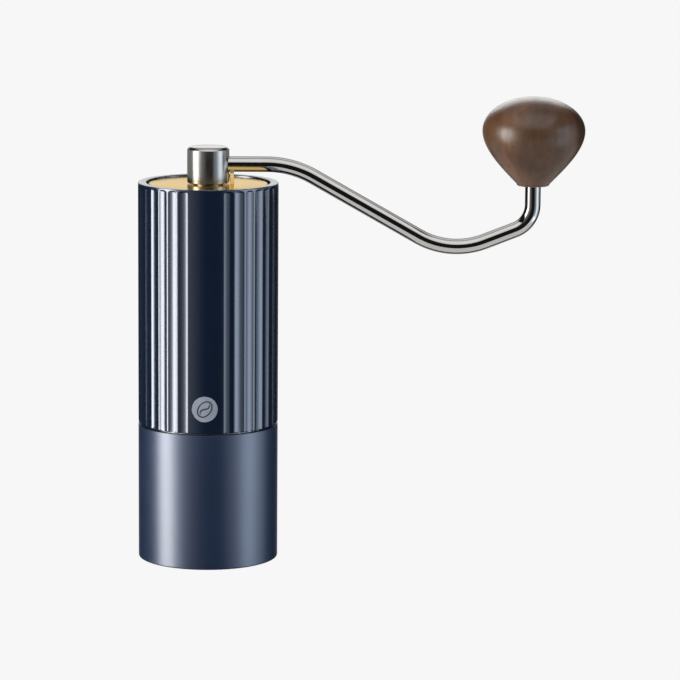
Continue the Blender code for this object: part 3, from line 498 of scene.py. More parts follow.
def walnut():
    """Oiled walnut: long growth bands leaning across the knob, darker streaks and fine open pores."""
    shader = Shader("walnut_oiled", Specular_IOR_Level=0.3, Coat_Weight=0.8, Coat_Roughness=0.3)
    lean = (radians(20), radians(-42), radians(-35))
    bands = shader.noise(62.0, 4.0, stretch=(1.0, 0.75, 0.2), distortion=0.8, turn=lean)
    darker = ((0.26, (0.052, 0.023, 0.011)), (0.42, (0.120, 0.057, 0.028)))
    lighter = ((0.56, (0.175, 0.084, 0.040)), (0.74, (0.250, 0.126, 0.061)))
    colour = shader.ramp(bands, *darker, *lighter)
    streaks = shader.noise(420.0, 5.0, stretch=(1.0, 0.8, 0.035), distortion=0.3, turn=lean)
    streak_colour = shader.ramp(streaks, (0.36, (0.78, 0.73, 0.69)), (0.58, 1.0))
    pores = shader.noise(1500.0, 2.0, stretch=(1.0, 1.0, 0.07), turn=lean)
    pore_colour = shader.ramp(pores, (0.30, 0.65), (0.42, 1.0))
    streaked = shader.multiply(0.85, colour, streak_colour)
    shader.drive("Base Color", shader.multiply(0.8, streaked, pore_colour))
    shader.vary("Roughness", streaks, 0.50, 0.38, 0.35, 0.65)
    shader.bump(pores, 0.25, 0.00012)
    return shader.material


def make_looks():
    """The material and the record slot of each look."""
    bright = (0.011, 0.035, 0.098), (0.013, 0.040, 0.110)
    satin = (0.023, 0.059, 0.165), (0.028, 0.069, 0.188)
    black, matt_black = ((0.012, 0.012, 0.014), (0.022, 0.022, 0.025)), ((0.010,) * 3, (0.018,) * 3)
    mark, mark_line = ((0.50, 0.55, 0.66), (0.58, 0.63, 0.74)), ((0.022, 0.030, 0.055), (0.032, 0.042, 0.070))
    spring, burr = ((0.30, 0.30, 0.31), (0.42, 0.42, 0.43)), ((0.44, 0.44, 0.45), (0.60, 0.60, 0.61))
    shaft, race = ((0.55, 0.54, 0.53), (0.66, 0.65, 0.63)), ((0.56, 0.56, 0.57), (0.68, 0.68, 0.69))
    aluminium, bronze = ((0.62, 0.63, 0.65), (0.74, 0.75, 0.77)), ((0.50, 0.32, 0.14), (0.64, 0.44, 0.21))
    return {
        "shell": (anodised_blue("blue_anodised_bright", 0.19, 0.0, *bright), "blue_anodised"),
        "cup": (anodised_blue("blue_anodised_satin", 0.33, 0.03, *satin), "blue_anodised"),
        "gold": (anodised_gold("gold_anodised_turned", 1.0, 0.17, 0.015), "gold_anodised"),
        "lug": (anodised_gold("gold_anodised_blasted", 0.0, 0.6, 0.015), "gold_anodised"),
        "rod": (polished_steel("polished_steel_rod", 0.07, 0.006), "polished_steel"),
        "hub": (polished_steel("polished_steel_hub", 0.23, 0.05), "polished_steel"),
        "shaft": (turned_metal("ground_steel", *shaft, 0.18, 0.1), "polished_steel"),
        "spring": (plain_metal("spring_steel_oiled", *spring, 0.30), "spring_steel"),
        "bearing": (turned_metal("bearing_steel_ground", *race, 0.16, 0.08), "bearing_steel"),
        "burr": (plain_metal("burr_steel_milled", *burr, 0.32, 1500.0), "burr_steel"),
        "aluminium": (turned_metal("satin_aluminium_turned", *aluminium, 0.34), "satin_aluminium"),
        "plastic": (moulded("black_plastic_moulded", *black, 0.42, 1800.0, 0.25), "black_plastic"),
        "rubber": (moulded("black_rubber_matt", *matt_black, 0.75, 1200.0, 0.4), "black_rubber"),
        "walnut": (walnut(), "walnut"),
        "bronze": (turned_metal("bronze_sintered", *bronze, 0.36), "bronze"),
        "mark": (moulded("laser_mark_pale", *mark, 0.42, 2400.0, 0.1), "blue_anodised"),
        "mark_line": (moulded("laser_mark_dark", *mark_line, 0.40, 2400.0, 0.1), "blue_anodised"),
    }


LOOKS = make_looks()


# ---- catch cup


def make_cup():
    """The catch cup, and the grooved rubber pad in the recess under it."""
    top, low = CUP_HIGH.z, CUP_LOW.z
    pad_recess, floor = PAD_HIGH.x + 0.2, 3.3
    corners = [
        (0.0, PAD_HIGH.z + 0.2, 0.0), (pad_recess, PAD_HIGH.z + 0.2, 0.15), (pad_recess, low, 0.2),
        (BODY_RADIUS, low, 0.55), (BODY_RADIUS, top, 0.1), (CUP_BORE, top, 0.35),
        (CUP_BORE, floor, 2.2), (0.0, floor, 0.0),
    ]
    finish(lathe("cup_body", rounded(corners, closed=False, count=6), 192), "cup", "cup", "catch_cup")

    radius, high, deep = PAD_HIGH.x, PAD_HIGH.z, 0.25
    grooves = []
    for r in (16.0, 12.0, 8.0):
        grooves += [(r, 0.0, 0.0), (r - 0.4, deep, 0.1), (r - 0.8, deep, 0.1), (r - 1.2, 0.0, 0.0)]
    corners = [(0.0, high, 0.0), (radius, high, 0.1), (radius, 0.0, 0.35), *grooves, (0.0, 0.0, 0.0)]
    finish(lathe("foot_pad", rounded(corners, closed=False), 128), "rubber", "cup", "base_pad")


# ---- grinder body


def flute_angles():
    """Angles from the panel's middle: over each flute, then over the plain panel."""
    angles = []
    for flute in range(FLUTES):
        first = PANEL_HALF_ANGLE + flute * FLUTE_PITCH
        angles += [first + FLUTE_PITCH * share for share in steps(0.0, 1.0, FLUTE_STEPS)[:-1]]
    return angles + steps(-PANEL_HALF_ANGLE, PANEL_HALF_ANGLE, PANEL_STEPS)


def flute_depth(angle, height):
    """How deep a round-nosed cutter has cut at this angle from the panel's middle and at this height, with
    the sharp edge beside the flute eased into a short curve."""
    beyond = (angle - PANEL_HALF_ANGLE) % tau
    if beyond >= FLUTES * FLUTE_PITCH - 1e-9:
        return 0.0
    half_width = FLUTE_SHARE * BODY_RADIUS * sin(FLUTE_PITCH / 2)
    tool = (half_width**2 + FLUTE_DEPTH**2) / (2 * FLUTE_DEPTH)
    across = BODY_RADIUS * sin(beyond % FLUTE_PITCH - FLUTE_PITCH / 2)
    along = max(0.0, height - (FLUTE_TOP - FLUTE_RUN_OUT)) * half_width / FLUTE_RUN_OUT
    inside = tool**2 - across**2 - along**2
    depth = sqrt(max(inside, 0.0)) - (tool - FLUTE_DEPTH)
    eased = (depth + sqrt(depth**2 + FLUTE_EDGE**2)) / 2
    return eased * min(1.0, max(0.0, 1.0 + depth / FLUTE_FADE))


def make_shell():
    """The outer shell: flutes run out below its rim, and its lower edge is chamfered at the seam."""
    low, high = SHELL_LOW.z, SHELL_HIGH.z
    angles = flute_angles()

    def ring(radii, height):
        turns = [a + PANEL_ANGLE for a in angles]
        return [(r * sin(a), -r * cos(a), height) for r, a in zip(radii, turns)]

    def outer(height, inset=0.0):
        return ring([BODY_RADIUS - max(inset, flute_depth(a, height)) for a in angles], height)

    def inner(radius, height):
        return ring([radius] * len(angles), height)

    chamfer = 0.35
    rings = [outer(low, chamfer), outer(low + chamfer)]
    rings += [outer(z) for z in steps(low + 1, FLUTE_TOP - FLUTE_RUN_OUT, 3)]
    shares = [1 - sin(pi / 2 * t) for t in steps(0.06, 1.0, 14)]
    rings += [outer(FLUTE_TOP - FLUTE_RUN_OUT * share) for share in shares]
    rings += [outer(high - 0.25), outer(high - 0.07, 0.06), outer(high, 0.22)]
    rings += [inner(SHELL_BORE + 0.4, high), inner(SHELL_BORE + 0.12, high - 0.12)]
    rings += [inner(SHELL_BORE, high - 0.4), inner(SHELL_BORE, low)]
    finish(skin("shell_fluted", rings, closed=True, sharp=24.0), "shell", "grinder", "fluted_shell")


def wrapped(u, v, radius):
    """The point at u along and v up from the emblem's centre, on a cylinder of this radius."""
    angle = BADGE_ANGLE + u / BODY_RADIUS
    return (radius * sin(angle), -radius * cos(angle), BADGE_HEIGHT + v)


def ribbon(bm, line, width, closed):
    """Adds a thin raised strip along (u, v) points, with thinner ends where it is open."""
    count = len(line)
    rings = []
    for i, (u, v) in enumerate(line):
        before = line[i - 1] if closed or i else line[0]
        after = line[(i + 1) % count] if closed or i < count - 1 else line[-1]
        along = Vector((after[0] - before[0], after[1] - before[1])).normalized()
        share = 1.0 if closed else min(1.0, 0.25 + 4.0 * min(i, count - 1 - i) / count)
        side = Vector((-along.y, along.x)) * width / 2 * share
        left, right = (u - side.x, v - side.y), (u + side.x, v + side.y)
        low, high = BODY_RADIUS, BODY_RADIUS + 0.05
        rings.append([wrapped(*left, low), wrapped(*right, low), wrapped(*right, high), wrapped(*left, high)])
    add_skin(bm, rings, closed)


def make_badge():
    """A pale disc marked on the panel, with a coffee bean drawn on it in dark line."""
    outlines = [[(r * cos(a), r * sin(a)) for a in around(96)] for r in steps(BADGE_RADIUS, 0.6, 7)]
    low, high = BODY_RADIUS - 0.1, BODY_RADIUS + 0.02
    rings = [[wrapped(u, v, low) for u, v in outlines[0]]]
    rings += [[wrapped(u, v, high) for u, v in outline] for outline in outlines]
    finish(skin("emblem_disc", rings, closed=False), "mark", "grinder")

    bm = bmesh.new()
    tilt, half_width, half_length = Matrix.Rotation(radians(-38), 2), 2.25, 3.2
    outline = [tilt @ Vector((half_width * cos(a), half_length * sin(a))) for a in around(72)]
    ribbon(bm, outline, 0.42, closed=True)
    crease = [tilt @ Vector((0.75 * sin(pi * t), 2.75 * t)) for t in steps(-1.0, 1.0, 40)]
    ribbon(bm, crease, 0.46, closed=False)
    finish(piece_from("emblem_bean", bm), "mark_line", "grinder")


def snap_groove(bore, low, high):
    """The groove of a snap ring in a bore, from its top to its bottom."""
    floor = bore + 0.6
    return [(bore, high, 0.05), (floor, high, 0.05), (floor, low, 0.05), (bore, low, 0.05)]


def make_barrel():
    """The hopper tube, with snap ring grooves, the burr seat, the spigot and its O-ring."""
    low, high = BARREL_LOW.z, BARREL_HIGH.z
    spigot, shoulder, wall, top_bore, bore = 23.6, 51.1, 22.6, 21.4, 20.8
    burr_bore, lip, burr_top, lip_top, bridge_seat = 19.3, 17.6, 66.4, 68.2, 119.7
    o_ring_floor, o_ring_low, o_ring_high = 22.0, 47.0, 49.0
    corners = [
        (spigot, low, 0.4), (spigot, o_ring_low, 0.08), (o_ring_floor, o_ring_low, 0.1),
        (o_ring_floor, o_ring_high, 0.1), (spigot, o_ring_high, 0.08), (spigot, shoulder, 0.15),
        (wall, shoulder, 0.1), (wall, high, 0.3), (top_bore, high, 0.3),
        *snap_groove(top_bore, 126.3, 127.5), (top_bore, bridge_seat, 0.1), (bore, bridge_seat, 0.1),
        *snap_groove(bore, 75.1, 76.3), (bore, lip_top, 0.3), (lip, lip_top, 0.3),
        (lip, burr_top, 0.1), (burr_bore, burr_top, 0.1), (burr_bore, low, 0.3),
    ]
    obj = lathe("hopper_barrel", rounded(corners, count=3), 144)
    finish(obj, "aluminium", "grinder", "inner_barrel")
    circle, height, radius = 23.0, 48.0, 0.75
    section = [(circle + radius * cos(a), height + radius * sin(a)) for a in around(16)]
    finish(lathe("cup_o_ring", section, 144, sharp=60.0), "rubber", "grinder", "spigot_o_ring")


def window_cutter(low, high, turn):
    """A sector of a ring between two spokes, with rounded corners."""
    inner, outer, spoke, count = 10.4, 17.8, 5.0, 24
    corners = []
    for radius, direction in ((outer, 1), (inner, -1)):
        edge = asin(spoke / 2 / radius)
        turns = steps(edge, tau / 3 - edge, count)[::direction]
        corners += [(radius * cos(a + turn), radius * sin(a + turn)) for a in turns]
    ends = {0, count, count + 1, 2 * count + 1}
    outline = rounded([(x, y, 1.2 if i in ends else 0.0) for i, (x, y) in enumerate(corners)], count=5)
    return skin("window_cutter", [[(x, y, z) for x, y in outline] for z in (low, high)], closed=False)


def make_bridge(name, node, first_spoke):
    """A three-spoked bridge with the pocket of a bearing in its middle."""
    low, high = span(node)
    bottom, top, radius = low.z, high.z, high.x
    hole, pocket, lip = 5.6, 7.57, bottom + 1.0
    corners = [
        (hole, bottom, 0.1), (radius, bottom, 0.3), (radius, top, 0.3), (pocket + 2.2, top, 0.0),
        (pocket, top, 0.25), (pocket, lip, 0.1), (hole, lip, 0.1),
    ]
    obj = lathe(name, rounded(corners, count=3), 120)
    for angle in around(3, first_spoke):
        cut(obj, window_cutter(bottom - 1, top + 1, angle))
    bevel = obj.modifiers.new("edges", "BEVEL")
    bevel.width = 0.00012
    bevel.segments = 2
    bevel.limit_method = "ANGLE"
    bevel.angle_limit = radians(60)
    finish(obj, "aluminium", "grinder", node)


def make_bridges():
    make_bridge("hopper_bridge", "top_bridge", radians(90))
    make_bridge("burr_bridge", "lower_bridge", radians(30))
    gap, back = radians(24), pi / 2
    make_washer("hopper_snap_ring", "top_snap_ring", 19.6, 21.8, 0.15, "spring", "grinder", gap, back)
    make_washer("burr_snap_ring", "lower_snap_ring", 19.0, 21.2, 0.15, "spring", "grinder", gap, back)


def make_race(name, ring, side, face, body):
    """A bearing ring with a groove towards the balls: side is -1 for the inner one, else 1."""
    low, high = span(f"{name}_outer_race")
    shoulder, track, middle = 0.75, BALL_RADIUS + 0.1, (low.z + high.z) / 2
    widest = acos(shoulder / track)
    groove = [
        (BALL_CIRCLE + side * track * cos(a), middle + track * sin(a), 0.0)
        for a in steps(-widest, widest, 12)
    ]
    edge = BALL_CIRCLE + side * shoulder
    corners = [(face, low.z, 0.3), (edge, low.z, 0.1), *groove, (edge, high.z, 0.1), (face, high.z, 0.3)]
    obj = lathe(f"{name}_{ring}_ring", rounded(corners, count=3), 96)
    finish(obj, "bearing", body, f"{name}_{ring}_race")


def make_balls(name):
    """A ring that swells at each ball, and narrows to the cage between them."""
    low, high = span(f"{name}_outer_race")
    middle, cage_out, cage_up, sides = (low.z + high.z) / 2, 0.3, 0.35, 16
    rings = []
    for angle in around(BALL_COUNT * sides):
        share = abs((angle * BALL_COUNT / tau + 0.5) % 1.0 - 0.5)
        across = share * tau / BALL_COUNT * BALL_CIRCLE
        swell = sqrt(max(0.0, BALL_RADIUS**2 - across**2))
        out, up = max(cage_out, swell), max(cage_up, swell)
        section = [(BALL_CIRCLE + out * cos(a), middle + up * sin(a)) for a in around(sides)]
        rings.append([polar(r, angle, z) for r, z in section])
    obj = skin(f"{name}_bearing_balls", rings, closed=True)
    finish(obj, "bearing", f"{name}_balls", f"{name}_ball_cage")


def make_bearings():
    """Both ball bearings: turned races, and a ring of balls with their cage."""
    for name in ("upper", "lower"):
        make_race(name, "inner", -1, 3.1, "spindle")
        make_race(name, "outer", 1, 7.45, "grinder")
        make_balls(name)


# ---- burrs


def toothed_ring(radius, height, teeth, depth, twist, sides):
    """A ring with saw teeth: a negative depth cuts them into a cone and a positive one into a bore."""
    ring = []
    for i, angle in enumerate(around(sides)):
        share = (teeth * i / sides) % 1.0
        reach = radius + depth * min(share * 1.15, (1.0 - share) * 7.0, 1.0)
        ring.append(polar(reach, angle + twist, height))
    return ring


def burr_rings(node, throat_radius, twist, above, below, count):
    """Toothed rings up a burr. Above and below say: widening, its power, teeth, their depth at the throat,
    how much deeper they get, and how fast."""
    low, high = span(node)
    rings = []
    for height in steps(low.z, high.z, count):
        end, side = (high.z, above) if height > BURR_THROAT else (low.z, below)
        share = (height - BURR_THROAT) / (end - BURR_THROAT)
        widening, power, teeth, depth, deeper, rate = side
        radius, depth = throat_radius + widening * share**power, depth + deeper * min(1.0, rate * share)
        rings.append(toothed_ring(radius, height, teeth, depth, twist * (height - BURR_THROAT), BURR_SIDES))
    return rings


def make_burrs():
    """The ring burr and the cone: coarse leading teeth above the throat, and fine ones below it."""
    coarse, fine = (4.15, 1.2, 12, 0.25, 0.9, 3.0), (3.65, 1.0, 48, 0.45, 0.0, 1.0)
    rings = burr_rings("ring_burr", 12.8, radians(1.0), coarse, fine, 28)
    (low, high), edge = span("ring_burr"), 0.3
    outer = high.x
    rings += round_rings(((outer - edge, high.z), (outer, high.z - edge)), BURR_SIDES)
    rings += round_rings(((outer, low.z + edge), (outer - edge, low.z)), BURR_SIDES)
    finish(skin("outer_burr", rings, closed=True, sharp=20.0), "burr", "grinder", "ring_burr")
    make_retainer()

    coarse, fine = (-5.4, 1.1, 6, -0.3, -1.9, 2.2), (3.3, 1.0, 36, -0.5, 0.0, 1.0)
    rings = burr_rings("cone_burr", 12.2, radians(-1.6), coarse, fine, 32)
    (low, high), seat, bore = span("cone_burr"), 60.0, 4.9
    rings += round_rings(((bore + edge, high.z), (bore, high.z - edge), (bore, seat)), BURR_SIDES)
    rings += [flats_ring(*SHAFT_HOLE, z, BURR_SIDES) for z in (seat, low.z)]
    finish(skin("inner_burr_cone", rings, closed=True, sharp=20.0), "burr", "inner_burr", "cone_burr")


def make_retainer():
    """The ring that holds the fixed burr, countersunk from below for its three screws."""
    low, high = span("burr_retainer")
    inner, outer = 16.7, 22.2
    corners = [(inner, low.z, 0.25), (outer, low.z, 0.25), (outer, high.z, 0.1), (inner, high.z, 0.1)]
    obj = lathe("burr_retaining_ring", rounded(corners), 120)
    hole, head, below, above = 0.9, 1.47, low.z - 0.5, 46.0
    cone = ((head, low.z + 0.05), (hole, low.z + 0.62))
    sink = [(0.0, below), (head, below), *cone, (hole, above), (0.0, above)]
    drill(obj, sink, RETAINER_CIRCLE, 3)
    finish(obj, "aluminium", "grinder", "burr_retainer")
    base, shank = low.z + 0.06, 0.75
    profile = ((1.22, base), (1.3, base + 0.08), (shank, base + 0.6), (shank, 49.5))
    make_screws("retainer_screw", "burr_screw", 0.5, profile, RETAINER_CIRCLE, 0.0, "grinder")


def make_click_plate():
    """The plate under the cone burr, with a pocket for each of the two sprung balls."""
    low, high = span("click_plate")
    radius, edge, sides = 9.8, 0.3, 96
    rim = ((radius - edge, low.z), (radius, low.z + edge), (radius, high.z - edge), (radius - edge, high.z))
    rings = round_rings(rim, sides) + [flats_ring(*SHAFT_HOLE, z, sides) for z in (high.z, low.z)]
    obj = skin("detent_plate", rings, closed=True)
    pocket, below, above = 1.05, low.z - 1, 46.0
    drill(obj, [(0.0, below), (pocket, below), (pocket, above), (0.0, above)], DETENT_CIRCLE, 2)
    finish(obj, "plastic", "inner_burr", "click_plate")


def make_detents():
    """The two balls that click over the dial, and their springs."""
    bm = bmesh.new()
    bmesh.ops.create_uvsphere(bm, u_segments=32, v_segments=16, radius=0.82)
    ball, ball_height = piece_from("detent_ball", bm), 42.94
    ball.data.transform(Matrix.Translation((DETENT_CIRCLE * MM, 0.0, ball_height * MM)))
    copies(ball, "click_ball", "detent_ball", around(2), "bearing", "inner_burr")
    radius, low, rise, wire = 0.6, 44.04, 0.11, 0.15
    turns = steps(0.0, 5 * pi, 60)
    coil = [(DETENT_CIRCLE + radius * cos(a), radius * sin(a), low + rise * a) for a in turns]
    spring = tube("detent_spring", coil, wire, 12)
    copies(spring, "click_spring", "detent_spring", around(2), "spring", "inner_burr")


def make_dial():
    """The scalloped nut that sets the grind."""
    low, high = span("adjusting_dial")
    radius, scallop, lobes, hole, sides = 12.0, 0.7, 12, 2.47, 288
    rings = []
    edge = ((0.0, 0.6), (0.2, 0.2), (0.6, 0.0))
    heights = [(low.z + up, inset) for up, inset in edge]
    for z, inset in heights + [(high.z - down, inset) for down, inset in edge[::-1]]:
        radii = [radius - inset - scallop * sin(lobes * a / 2) ** 2 for a in around(sides)]
        rings.append([polar(r, a, z) for r, a in zip(radii, around(sides))])
    rings += round_rings(((2.8, high.z), (hole, high.z - 0.3), (hole, low.z + 0.3), (2.8, low.z)), sides)
    finish(skin("setting_dial", rings, closed=True), "aluminium", "dial", "adjusting_dial")
    make_dial_marks(low.z)


def make_dial_marks(underside):
    """A click mark for each setting round the dial's underside, every second one longer."""
    bm = bmesh.new()
    long_start, short_start, end, half = 7.4, 8.6, 10.2, 0.14
    for i, angle in enumerate(around(24)):
        start = short_start if i % 2 else long_start
        turn = Matrix.Rotation(angle, 4, "Z")
        corners = ((start, -half), (end, -half), (end, half), (start, half))
        points = [(x, y, z) for z in (underside - 0.02, underside + 0.1) for x, y in corners]
        verts = [bm.verts.new(turn @ Vector(point)) for point in points]
        for face in ((0, 1, 2, 3), (4, 5, 6, 7), (0, 1, 5, 4), (1, 2, 6, 5), (2, 3, 7, 6), (3, 0, 4, 7)):
            bm.faces.new([verts[k] for k in face])
    finish(piece_from("dial_marks", bm), "mark_line", "dial", slot="satin_aluminium")


# ---- spindle


def make_shaft():
    """The shaft from its thread up: flats for the burr, clip grooves at the bearing, and a hexagon."""
    low, high = span("drive_shaft")
    sides, radius, groove = 96, SHAFT_RADIUS, 2.5
    crest, core, pitch, turns = 2.35, 2.1, 0.75, 10
    flats_low, flats_high, hex_low, across_flats = 43.4, 69.0, 130.0, 5.2
    rings = [round_ring(1.95, low.z, sides), round_ring(crest, low.z + 0.4, sides)]
    for i in range(2 * turns):
        rings.append(round_ring(crest if i % 2 else core, low.z + 0.5 + pitch * i / 2, sides))
    rings.append(round_ring(crest, flats_low, sides))
    rings += [flats_ring(radius, SHAFT_HALF_WIDTH, z, sides) for z in (flats_low, flats_high)]
    rings.append(round_ring(radius, flats_high, sides))
    for bottom, top in ((120.0, 120.9), (126.1, 127.0)):
        rings += round_rings(((radius, bottom), (groove, bottom), (groove, top), (radius, top)), sides)
    rings.append(round_ring(radius, hex_low, sides))
    hexagon = ((across_flats, hex_low), (across_flats, high.z - 0.4), (across_flats - 0.6, high.z))
    rings += [hex_ring(across, z, sides) for across, z in hexagon]
    finish(skin("shaft", rings, closed=False), "shaft", "spindle", "drive_shaft")
    for node in ("lower_shaft_clip", "upper_shaft_clip"):
        make_washer(f"{node}_ring", node, 2.62, 4.5, 0.1, "spring", "spindle", CLIP_GAP)


def make_burr_spring():
    """The spring that presses the cone burr down, given a mesh of its own, and its washer."""
    turns, radius, wire, low, high = 4.5, 4.0, 0.45, 60.6, 68.5
    points = []
    for t in steps(0.0, 1.0, 160):
        points.append(polar(radius, tau * turns * t, low + (high - low) * t))
    spring = tube("burr_preload_spring", points, wire, 16)
    finish(spring, "spring", "spindle", "burr_spring")
    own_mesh(spring)
    make_washer("preload_washer", "spring_washer", 3.2, 5.2, 0.08, "spring", "spindle")


# ---- crank


def rounded_path(start, corners, end, bend_steps):
    """Points along straight runs through corners of (x, z, bend radius), with the bends as arcs."""
    ends = [start, *[(x, z) for x, z, _ in corners], end]
    points = [(start[0], 0.0, start[1])]
    for i, (x, z, radius) in enumerate(corners):
        corner = Vector((x, z))
        back = (Vector(ends[i]) - corner).normalized()
        ahead = (Vector(ends[i + 2]) - corner).normalized()
        half = back.angle(ahead) / 2
        centre = corner + (back + ahead).normalized() * (radius / sin(half))
        spoke = corner + back * (radius / tan(half)) - centre
        sense = 1.0 if back.x * ahead.y < back.y * ahead.x else -1.0
        for share in steps(0.0, 1.0, bend_steps):
            point = centre + Matrix.Rotation(sense * (pi - 2 * half) * share, 2) @ spoke
            points.append((point.x, 0.0, point.y))
    return [*points, (end[0], 0.0, end[1])]


def make_arm():
    path = rounded_path((ARM_LOW.x, ROD_HEIGHT), ROD_CORNERS, (CRANK_RADIUS, ARM_HIGH.z), 32)
    obj = tube("crank_rod", path, ROD_RADIUS, 64)
    finish(obj, "rod", "crank", "crank_arm")
    return obj


def make_hub():
    """The turned hub: a hexagon socket in its stem, and a groove round it for the lid's clip."""
    top, bottom, radius, chamfer = HUB_HIGH.z, HUB_LOW.z, HUB_HIGH.x, 0.9
    socket, socket_top, groove_low, groove_high = 5.45, 143.0, 136.9, 137.9
    groove = STEM_RADIUS - 0.6
    rings = [hex_ring(socket, socket_top), hex_ring(socket, bottom + 0.4), hex_ring(socket + 0.8, bottom)]
    profile = [
        (STEM_RADIUS - 0.3, bottom), (STEM_RADIUS, bottom + 0.3), (STEM_RADIUS, groove_low),
        (groove, groove_low), (groove, groove_high), (STEM_RADIUS, groove_high),
        (STEM_RADIUS, HUB_SHOULDER), (radius - 0.15, HUB_SHOULDER), (radius, HUB_SHOULDER + 0.15),
        (radius, top - chamfer - 0.06), (radius - 0.04, top - chamfer + 0.04),
        (radius - chamfer + 0.05, top - 0.04), (radius - chamfer - 0.05, top),
    ]
    obj = skin("hub", rings + round_rings(profile, 96), closed=False, sharp=25.0)
    return finish(obj, "hub", "crank", "crank_hub")


def make_lid():
    """The gold lid and the lug that stands on it, and the carrier ring under it."""
    bottom, top = LID_LOW.z, LID_TOP
    corners = [
        (LID_BORE, bottom, 0.1), (LID_HIGH.x, bottom, 0.1), (LID_HIGH.x, top, 0.28), (LID_BORE, top, 0.1),
    ]
    finish(lathe("lid_disc", rounded(corners), 192), "gold", "crank", "lid_plate")

    bm = bmesh.new()
    bmesh.ops.create_cube(bm, size=1.0)
    low, high = Vector((8.0, -1.7, top - 0.3)), Vector((9.5, 1.7, LID_HIGH.z))
    bmesh.ops.scale(bm, verts=bm.verts, vec=high - low)
    bmesh.ops.translate(bm, verts=bm.verts, vec=(low + high) / 2)
    bmesh.ops.bevel(bm, geom=bm.edges[:], offset=0.22, segments=3, affect="EDGES", profile=0.5)
    lug = finish(piece_from("lid_lug", bm), "lug", "crank")

    bore, outer, collar, shelf = 17.0, RING_HIGH.x, LID_HIGH.x + 0.2, LID_LOW.z - 0.3
    corners = [
        (bore, RING_LOW.z, 0.3), (outer, RING_LOW.z, 0.35), (outer, RING_HIGH.z, 0.15),
        (collar, RING_HIGH.z, 0.1), (collar, shelf, 0.05), (bore, shelf, 0.2),
    ]
    finish(lathe("lid_carrier", rounded(corners), 192), "plastic", "crank", "lid_ring")
    return lug


def make_lid_fasteners():
    """The washer and the clip that hold the lid on the hub, and the three screws of its carrier."""
    make_washer("lid_washer_ring", "lid_washer", LID_BORE, 9.0, 0.1, "spring", "crank")
    make_washer("lid_clip_ring", "lid_clip", 5.02, 7.2, 0.12, "spring", "crank", CLIP_GAP)
    low, high = span("lid_screw_1")
    head, shank, under_head = 1.4, 0.75, low.z + 0.7
    profile = ((1.25, low.z), (head, low.z + 0.15), (head, under_head), (shank, under_head), (shank, high.z))
    first = radians(30)
    make_screws("lid_cap_screw", "lid_screw", 0.45, profile, LID_CIRCLE, first, "crank")


# ---- knob


def bezier(ends, t):
    weights = ((1 - t) ** 3, 3 * t * (1 - t) ** 2, 3 * t**2 * (1 - t), t**3)
    return tuple(sum(w * end[i] for w, end in zip(weights, ends)) for i in range(2))


def make_knob():
    """The turned knob: an elliptical crown, a curved flank, and a bore for its two bushes."""
    rise = KNOB_HIGH.z - KNOB_WIDEST
    turns = steps(0.0, pi / 2, 32)
    crown = [(KNOB_RADIUS * sin(a), KNOB_WIDEST + rise * cos(a)) for a in turns]
    flank = [bezier(KNOB_FLANK, t) for t in steps(0.0, 1.0, 28)[1:]]
    base, bore, bore_top = KNOB_LOW.z, 4.6, 165.5
    foot = [(6.05, base + 0.45), (5.85, base + 0.15), (5.55, base), (bore + 0.2, base), (bore, base + 0.2)]
    outline = [*crown, *flank, *foot, (bore, bore_top), (0.0, bore_top)]
    knob = lathe("knob_body", outline, 144, axis_x=CRANK_RADIUS)
    finish(knob, "walnut", "knob", "wooden_knob")
    for node in ("lower_knob_bush", "upper_knob_bush"):
        make_washer(f"{node}_turned", node, 2.98, 4.5, 0.2, "bronze", "knob", axis_x=CRANK_RADIUS)
    return knob


def dress_nodes():
    """Gives the two CAD nodes that still show their material."""
    for node in ("knob_clip", "arm_grub_screw"):
        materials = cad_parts[node].data.materials
        materials.clear()
        materials.append(LOOKS["spring"][0])


# ---- stage


def make_camera():
    """A long lens from the front, a little above and to the right of the body, rolled slightly."""
    place = Vector((20.05, -1300.0, 305.2)) * MM
    yaw, pitch, roll = radians(1.28), radians(9.73), radians(0.4)
    ahead = Vector((sin(yaw) * cos(pitch), cos(yaw) * cos(pitch), -sin(pitch)))
    right = Vector((cos(yaw), -sin(yaw), 0.0))
    up = right.cross(ahead)
    turned_right = right * cos(roll) + up * sin(roll)
    turned_up = up * cos(roll) - right * sin(roll)
    data = bpy.data.cameras.new("camera")
    data.sensor_width = 36.0
    data.lens = 187.4
    data.clip_start, data.clip_end = 0.05, 50.0
    camera = show("camera", data)
    axes = Matrix((turned_right, turned_up, -ahead)).transposed()
    camera.matrix_world = Matrix.Translation(place) @ axes.to_4x4()
    bpy.context.scene.camera = camera


def softbox(name, azimuth, elevation, distance, size, radiance, aim=(0.03, 0.0, 0.09), tint=(1.0, 1.0, 1.0)):
    """A rectangular light at this azimuth, from -Y towards +X, facing the aim point."""
    a, e = radians(azimuth), radians(elevation)
    back = Vector((sin(a) * cos(e), -cos(a) * cos(e), sin(e)))
    data = bpy.data.lights.new(name, "AREA")
    data.shape = "RECTANGLE"
    data.size, data.size_y = size
    data.energy = radiance * size[0] * size[1] * pi
    data.color = tint
    light = show(name, data)
    light.location = Vector(aim) + back * distance
    light.rotation_euler = (-back).to_track_quat("-Z", "Y").to_euler()
    light.visible_camera = False
    return light


def fade(light, axis, *stops):
    """Varies the light across its width (X) or height (Y) over (position, share) stops."""
    light.data.use_nodes = True
    tree = light.data.node_tree
    emission = next(n for n in tree.nodes if n.type == "EMISSION")
    place = tree.nodes.new("ShaderNodeNewGeometry")
    separate = tree.nodes.new("ShaderNodeSeparateXYZ")
    ramp = tree.nodes.new("ShaderNodeValToRGB")
    fill_ramp(ramp.color_ramp, stops)
    tree.links.new(place.outputs["Parametric"], separate.inputs["Vector"])
    tree.links.new(separate.outputs[axis], ramp.inputs["Fac"])
    tree.links.new(ramp.outputs["Color"], emission.inputs["Strength"])


